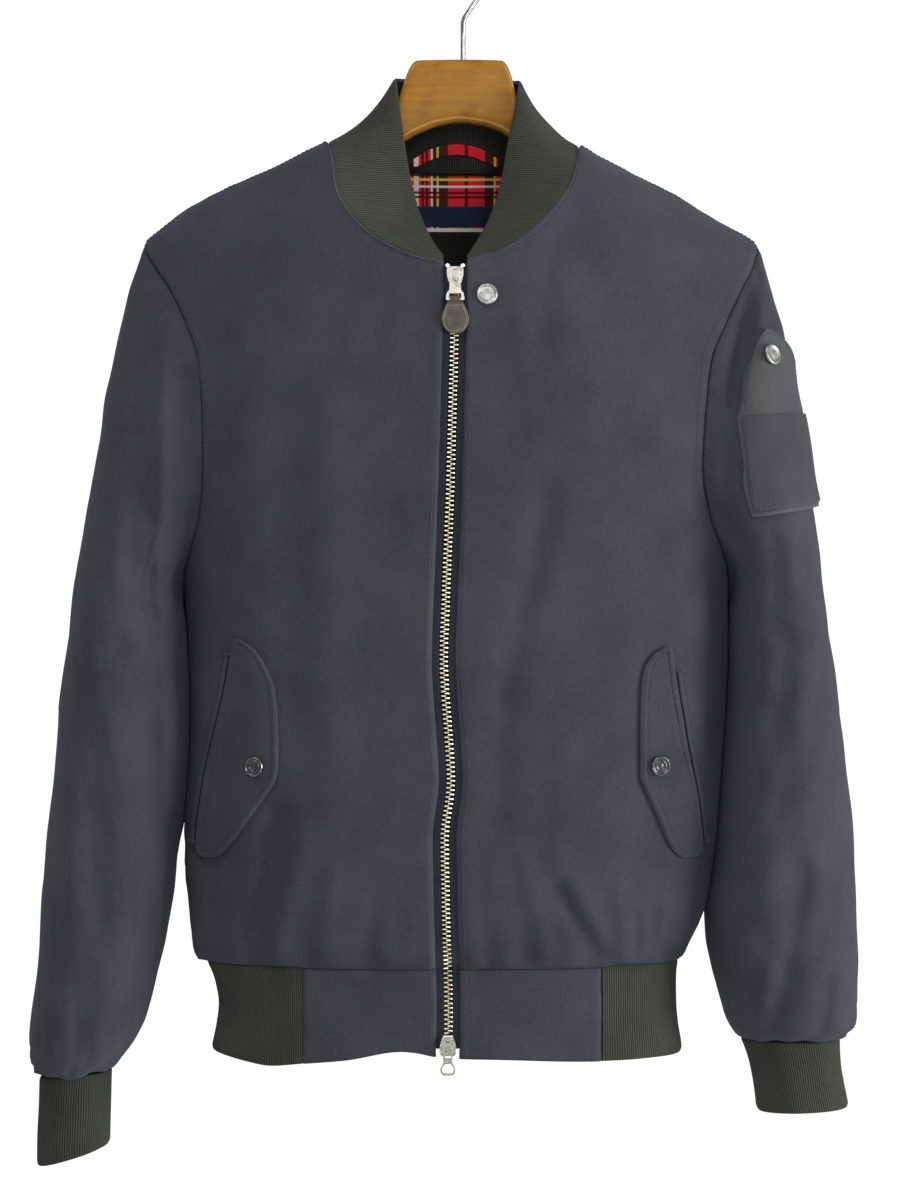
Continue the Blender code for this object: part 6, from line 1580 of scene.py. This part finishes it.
for hand, out in (("left", -1.0), ("right", 1.0)):
    height = np.linspace(zipper["tapeLow"], zipper["tapeTop"], 220)[:, None]
    middle = read(body["zip"], "height", "x", height)
    reach = np.linspace(3.3, zipper["tapeHalf"], 9)[None, :]
    cord = 0.5 * np.exp(-((reach - 3.9) / 0.7) ** 2)        # the cord that the teeth grip
    grid = bodyOut("front", middle + out * reach, height, -zipper["tapeDepth"])
    grid[..., 1] -= cord
    made = makeCloth("zipTape" + hand.title(), grid, zipper["tapeThick"], finish["tape"], edgeFade=1.5)
    dress(made, "zip_tape_" + hand, "tape", (0.01, 0.54), held="stretched", rests="front_" + hand)

bpy.ops.object.select_all(action="DESELECT")
tooth = startPiece(bpy.ops.mesh.primitive_cube_add, "zipTooth", size=mm)
bpy.ops.object.mode_set(mode="EDIT")
bpy.ops.mesh.select_all(action="SELECT")
bpy.ops.transform.resize(value=(zipper["toothWide"], zipper["toothDeep"], zipper["toothTall"]))
pick(tooth, lambda face: face.normal.x > 0.9)
bpy.ops.transform.resize(value=(1.0, 0.72, 0.62))
pick(tooth, lambda face: face.normal.y < -0.9)
bpy.ops.transform.resize(value=(0.86, 1.0, 0.7))
bpy.ops.object.mode_set(mode="OBJECT")
bevelEdges(tooth, 0.32, 1)
applyModifiers(tooth)
toothPoints = np.array([v.co for v in tooth.data.vertices]) / mm
toothFaces = [tuple(p.vertices) for p in tooth.data.polygons]
bpy.data.objects.remove(tooth, do_unlink=True)
verts, faces = [], []
count = int((zipper["chainTop"] - zipper["chainLow"]) / zipper["pitch"])
for side in (-1.0, 1.0):
    for k in range(count):
        height = zipper["chainTop"] - (k + (0.35 if side < 0.0 else 0.85)) * zipper["pitch"]
        if height < zipper["chainLow"] + 0.9:
            continue
        middle = float(read(body["zip"], "height", "x", height))
        above = float(read(body["zip"], "height", "x", height + 4.0))
        lean = math.atan2(above - middle, 4.0)
        base = bodyOut("front", middle, height, -1.9)
        rise = bodyOut("front", middle, height + 4.0, 0.0) - bodyOut("front", middle, height - 4.0, 0.0)
        rise /= np.linalg.norm(rise)
        inner = np.array([1.0, 0.0, 0.0]) - rise * rise[0]
        inner /= np.linalg.norm(inner)
        back = np.cross(rise, inner)
        if back[1] < 0.0:
            back = -back
        local = toothPoints.copy()
        local[:, 0] = -side * (local[:, 0] - zipper["toothReach"])
        local += draw.normal(0.0, 0.03, 3)
        start = len(verts)
        verts += [tuple((base + inner * p[0] + back * p[1] + rise * p[2]) * mm) for p in local]
        order = 1 if side < 0.0 else -1
        faces += [tuple(start + i for i in face[::order]) for face in toothFaces]
mesh = bpy.data.meshes.new("zipTeeth")
mesh.from_pydata(verts, [], faces)
mesh.materials.append(finish["toothMetal"])
turnFacesOut(mesh)
made = newObject("zipTeeth", mesh)
fit(made, "jacket", "zip_metal", "zip_chain")
for node in ("zip_slider_top", "zip_slider_bottom", "zip_pull_top", "zip_pull_bottom", "zip_stop_left",
             "zip_stop_right"):
    solid = frame["nodes"][node]
    for place in solid.material_slots:
        # the bottom slider and pull take the darker copy of the zip metal, as painted shade
        place.material = finish["shadedZipMetal" if node.endswith("bottom") else "zipMetal"]
print("stage: zip")

# leather tag on the top pull: a loop round the bar and a round-footed tab
tag = {
    "thick": 2.3, "loopRadius": 2.3, "loopHalf": 3.5, "stitchInset": 1.5,
    "rows": table(
        "height half",
        (-23, 2), (-22.3, 4.2), (-20.8, 6), (-17.6, 8.3), (-13.4, 9.2), (-10, 8.7), (-6.6, 7.4), (-3, 5.8),
        (-1.6, 4.6)),
}
topJoint = [joint for joint in frame["joints"] if joint["name"] == "tag_swing"][0]
tagPlace = Vector(topJoint["pos_m"])
heights = np.linspace(-23.0, -1.6, 40)
half = read(tag["rows"], "height", "half", heights)
outline = [(x, h) for x, h in zip(half, heights)] + [(-x, h) for x, h in zip(half[::-1], heights[::-1])]
mesh = bpy.data.meshes.new("leatherTag")
mesh.from_pydata([(x * mm, -tag["thick"] / 2.0 * mm, h * mm) for x, h in outline], [], [tuple(range(len(outline)))])
made = newObject("leatherTag", mesh)
selectOnly(made)
bpy.ops.object.mode_set(mode="EDIT")
bpy.ops.mesh.select_mode(type="FACE")
bpy.ops.mesh.select_all(action="SELECT")
bpy.ops.mesh.inset(thickness=0.7 * mm)
bpy.ops.mesh.inset(thickness=1.6 * mm)
bpy.ops.mesh.select_all(action="SELECT")
bpy.ops.mesh.extrude_region_move(TRANSFORM_OT_translate={"value": (0.0, tag["thick"] * mm, 0.0)})
bpy.ops.mesh.select_all(action="SELECT")
bpy.ops.mesh.normals_make_consistent(inside=False)
bpy.ops.object.mode_set(mode="OBJECT")
bevelEdges(made, 0.55, 3, 50.0)
applyModifiers(made)
loopPiece = startPiece(bpy.ops.mesh.primitive_cylinder_add, "tagLoop", vertices=32, radius=tag["loopRadius"] * mm,
                       depth=2.0 * tag["loopHalf"] * mm, end_fill_type="NOTHING", rotation=(0.0, math.pi / 2.0, 0.0))
bpy.ops.object.transform_apply(location=True, rotation=True, scale=True)
thicken(loopPiece, 0.95)
applyModifiers(loopPiece)
selectOnly(made)
loopPiece.select_set(True)
bpy.ops.object.join()
edgeShare = made.data.attributes.new("edge", "FLOAT", "POINT")
away = [max(0.0, float(read(tag["rows"], "height", "half", v.co.z / mm)) - abs(v.co.x / mm))
        for v in made.data.vertices]
edgeShare.data.foreach_set("value", np.clip(1.0 - np.array(away) / 1.2, 0.0, 1.0).astype(np.float32))
made.data.transform(Matrix.Translation(tagPlace))
made.data.materials.clear()
made.data.materials.append(finish["leather"])
made.data.shade_smooth()
made.data.set_sharp_from_angle(angle=math.radians(45.0))
fit(made, "tag", "leather", "zip_tag")
heights = np.linspace(-21.2, -4.0, 30)
half = read(tag["rows"], "height", "half", heights) - tag["stitchInset"]
half[0] = 0.4
rimLine = np.array([(x, 0.0, h) for x, h in zip(half, heights)]
                   + [(-x, 0.0, h) for x, h in zip(half[::-1], heights[::-1])])
rimLine += np.array(tagPlace) / mm + np.array((0.0, -tag["thick"] / 2.0, 0.0))
sew(np.concatenate([rimLine, rimLine[:1]]), np.tile((0.0, -1.0, 0.0), (len(rimLine) + 1, 1)), run="paleThread",
    pitch=1.9, rise=0.05)
makeStitches("tagStitches", "paleThread", finish["paleThread"], "tag", "leather")
print("stage: tag")

# hanger: varnished wood and a bent wire hook
hanger = {
    "sides": 56, "steps": 230, "hookRadius": 20.0, "wire": 3.5, "stemBend": -59.0, "blockTop": -87.0, "stemBack": 2.5,
    "rows": table(
        "x top bottom halfDepth y corner",
        (-197, -203, -220, 4, 0, 1), (-192, -196, -224, 7.5, 0, 1),
        (-170, -165, -212, 10, 0, 1), (-130, -140, -187, 11, 0, 1),
        (-97, -135, -168, 9, 0, 1), (-88, -150.5, -164, 9, 0.5, 1),
        (-72, -139.5, -158, 8, 1.5, 0.8), (-55, -127, -150.5, 7, 2.5, 0.7),
        (-44.5, -112, -145.5, 6.5, 2.5, 0.5), (-40, -98.5, -143, 6.5, 2.5, 0.45),
        (-36.5, -91, -141, 6.5, 2.5, 0.45), (-32.5, -87.3, -139, 6.5, 2.5, 0.45),
        (-18, -86.8, -133.2, 6.5, 2.5, 0.45), (-3, -86.6, -130.8, 6.5, 2.5, 0.45),
        (12, -86.8, -132.6, 6.5, 2.5, 0.45), (27.5, -87.3, -137.8, 6.5, 2.5, 0.45),
        (31, -91, -140.5, 6.2, 2, 0.5), (34, -98.5, -142.4, 5.6, 1, 0.6),
        (38, -114, -144.5, 5.6, 1, 0.6), (44, -125, -147, 6, 1, 0.7),
        (50, -131.5, -151, 7, 2.5, 0.7), (62, -144, -159, 8, 1.5, 0.8),
        (75, -153.5, -165, 9, 0.5, 1), (84, -140, -170, 9, 0, 1),
        (118, -150, -188, 11, 0, 1), (152, -170, -212, 10, 0, 1),
        (174, -201.5, -224, 7.5, 0, 1), (179, -208.5, -220, 4, 0, 1)),
}
rows = hanger["rows"]
x = np.linspace(rows["x"][0], rows["x"][-1], hanger["steps"])
top = read(rows, "x", "top", x)
ends = neck["left"]["x"][-1], neck["right"]["x"][-1]
under = (x < ends[0] + 9.0) | (x > ends[1] - 9.0)
nearest = np.where(x < 0.0, np.minimum(x, ends[0]), np.maximum(x, ends[1]))
top = np.where(under, np.minimum(top, shoulderHeight(nearest) - body["cloth"] - np.where(nearest == x, 1.2, 3.5)), top)
bottom = read(rows, "x", "bottom", x)
angle = 2.0 * math.pi * (np.arange(hanger["sides"]) + 0.5) / hanger["sides"]
corner = read(rows, "x", "corner", x)[:, None]
middleY = read(rows, "x", "y", x)[:, None]
ringY = middleY + read(rows, "x", "halfDepth", x)[:, None] * signedPower(np.cos(angle)[None, :], corner)
ringZ = ((top + bottom) / 2.0)[:, None] + ((top - bottom) / 2.0)[:, None] * signedPower(np.sin(angle)[None, :], corner)
points = np.stack([np.broadcast_to(x[:, None], ringY.shape), ringY, ringZ], -1).reshape(-1, 3)
sides = hanger["sides"]
ring = np.arange(sides)
faces = []
for r in range(hanger["steps"] - 1):
    faces += [(r * sides + i, r * sides + (i + 1) % sides, (r + 1) * sides + (i + 1) % sides, (r + 1) * sides + i)
              for i in range(sides)]
faces.append(tuple(ring))
faces.append(tuple((hanger["steps"] - 1) * sides + ring[::-1]))
mesh = bpy.data.meshes.new("woodHanger")
mesh.from_pydata((points * mm).tolist(), [], faces)
# edge: 1 on the front-facing corners of the hanger's middle block, where the wood gets a painted highlight
cornerness = np.broadcast_to(np.abs(np.sin(2.0 * angle))[None, :] ** 60, ringY.shape)
block = smoothStep((np.minimum(x + 50.0, 56.0 - x) / 8.0))[:, None]
lower = (np.sin(angle) < 0.0)[None, :] | ((x < -33.5) | (x > 29.0))[:, None]
facing = (ringY < middleY) & lower
edgeShare = mesh.attributes.new("edge", "FLOAT", "POINT")
edgeShare.data.foreach_set("value", (cornerness * block * facing).reshape(-1).astype(np.float32))
mesh.materials.append(finish["wood"])
turnFacesOut(mesh)
mesh.shade_smooth()
mesh.set_sharp_from_angle(angle=math.radians(60.0))
made = newObject("woodHanger", mesh)
fit(made, "jacket", "wood", "hanger_wood")

radius = hanger["hookRadius"] + hanger["wire"] / 2.0
lean = math.asin(radius / (-hanger["hookRadius"] - hanger["stemBend"]))
tangent = Vector((radius * math.cos(lean), 0.0, -hanger["hookRadius"] - radius * math.sin(lean)))
bend = Vector((0.0, 0.0, hanger["stemBend"]))
path = [Vector((0.0, hanger["stemBack"], hanger["blockTop"] - 11.0)),
        Vector((0.0, hanger["stemBack"], hanger["stemBend"] - 12.0)),
        Vector((0.0, hanger["stemBack"] * 0.9, hanger["stemBend"] - 8.0)),
        Vector((0.0, hanger["stemBack"] * 0.3, hanger["stemBend"] - 2.0))]
path += [bend + (tangent - bend) * share for share in (0.06, 0.3, 0.7)]
for angle in np.linspace(-lean, math.radians(200.0), 60):
    path.append(Vector((radius * math.cos(angle), 0.0, -hanger["hookRadius"] + radius * math.sin(angle))))
curve = bpy.data.curves.new("wireHook", "CURVE")
curve.dimensions = "3D"
curve.bevel_depth = hanger["wire"] / 2.0 * mm
curve.bevel_resolution = 6
curve.use_fill_caps = True
spline = curve.splines.new("POLY")
spline.points.add(len(path) - 1)
for knot, point in zip(spline.points, path):
    knot.co = (*(point * mm), 1.0)
selectOnly(newObject("wireHook", curve))
bpy.ops.object.convert(target="MESH")
made = bpy.context.object
made.data.materials.clear()
made.data.materials.append(finish["chrome"])
made.data.shade_smooth()
fit(made, "jacket", "chrome", "hanger_hook")
print("stage: hanger")

makeStitches("seamStitches", "navyThread", finish["thread"], "jacket", "wool")
makeStitches("darkStitches", "ribThread", finish["ribThread"], "jacket", "rib")
print("stage: stitches")

# floor, light and camera
studio = {"floor": -1.30, "half": 2.2, "cameraX": -0.0091, "cameraHeight": -0.465, "distance": 2.4, "seen": 0.84}
floorMaterial, tree, shader, place, _ = newMaterial("paleFloor", Roughness=0.8)
tree.links.new(blendColour(tree, noise(tree, place, 0.3), (0.86, 0.86, 0.86), (0.90, 0.90, 0.90)),
               shader.inputs["Base Color"])
bpy.ops.object.select_all(action="DESELECT")
bpy.ops.mesh.primitive_plane_add(size=2.0 * studio["half"], location=(0.0, 0.0, studio["floor"]))
floor = bpy.context.object
floor.name = "floor"
floor.data.materials.append(floorMaterial)

lamps = (
    ("keyLight", (2.5, -1.0, -0.45), (1.0, 1.3), 70.0),
    ("fillLight", (0.5, -3.1, 0.4), (1.2, 1.2), 32.0),
    ("topLight", (-0.6, -0.9, 1.4), (1.2, 0.9), 19.0),
    ("backLight", (-0.4, 2.4, 0.6), (2.0, 1.5), 12.0),
)
for name, place, size, power in lamps:
    lamp = bpy.data.lights.new(name, "AREA")
    lamp.shape = "RECTANGLE"
    lamp.size, lamp.size_y = size
    lamp.energy = power
    made = newObject(name, lamp)
    made.location = place
    made.rotation_euler = (Vector((0.0, 0.0, -0.45)) - Vector(place)).to_track_quat("-Z", "Y").to_euler()
world = bpy.data.worlds.new("studioWhite")
world.use_nodes = True
links = world.node_tree
backdrop = links.nodes["Background"]
backdrop.inputs["Color"].default_value = (1.0, 1.0, 1.0, 1.0)
seen = links.nodes.new("ShaderNodeLightPath")       # the backdrop shows white and lights the cloth softly
links.links.new(spread(links, seen.outputs["Is Camera Ray"], 0.0, 1.0, 0.40, 1.05), backdrop.inputs["Strength"])
bpy.context.scene.world = world
bpy.context.scene.view_settings.view_transform = "Standard"

lens = bpy.data.cameras.new("camera")
lens.sensor_width = 36.0
lens.lens = lens.sensor_width * studio["distance"] / studio["seen"]
camera = newObject("camera", lens)
camera.location = (studio["cameraX"], -studio["distance"], studio["cameraHeight"])
camera.rotation_euler = (math.pi / 2.0, 0.0, 0.0)
bpy.context.scene.camera = camera
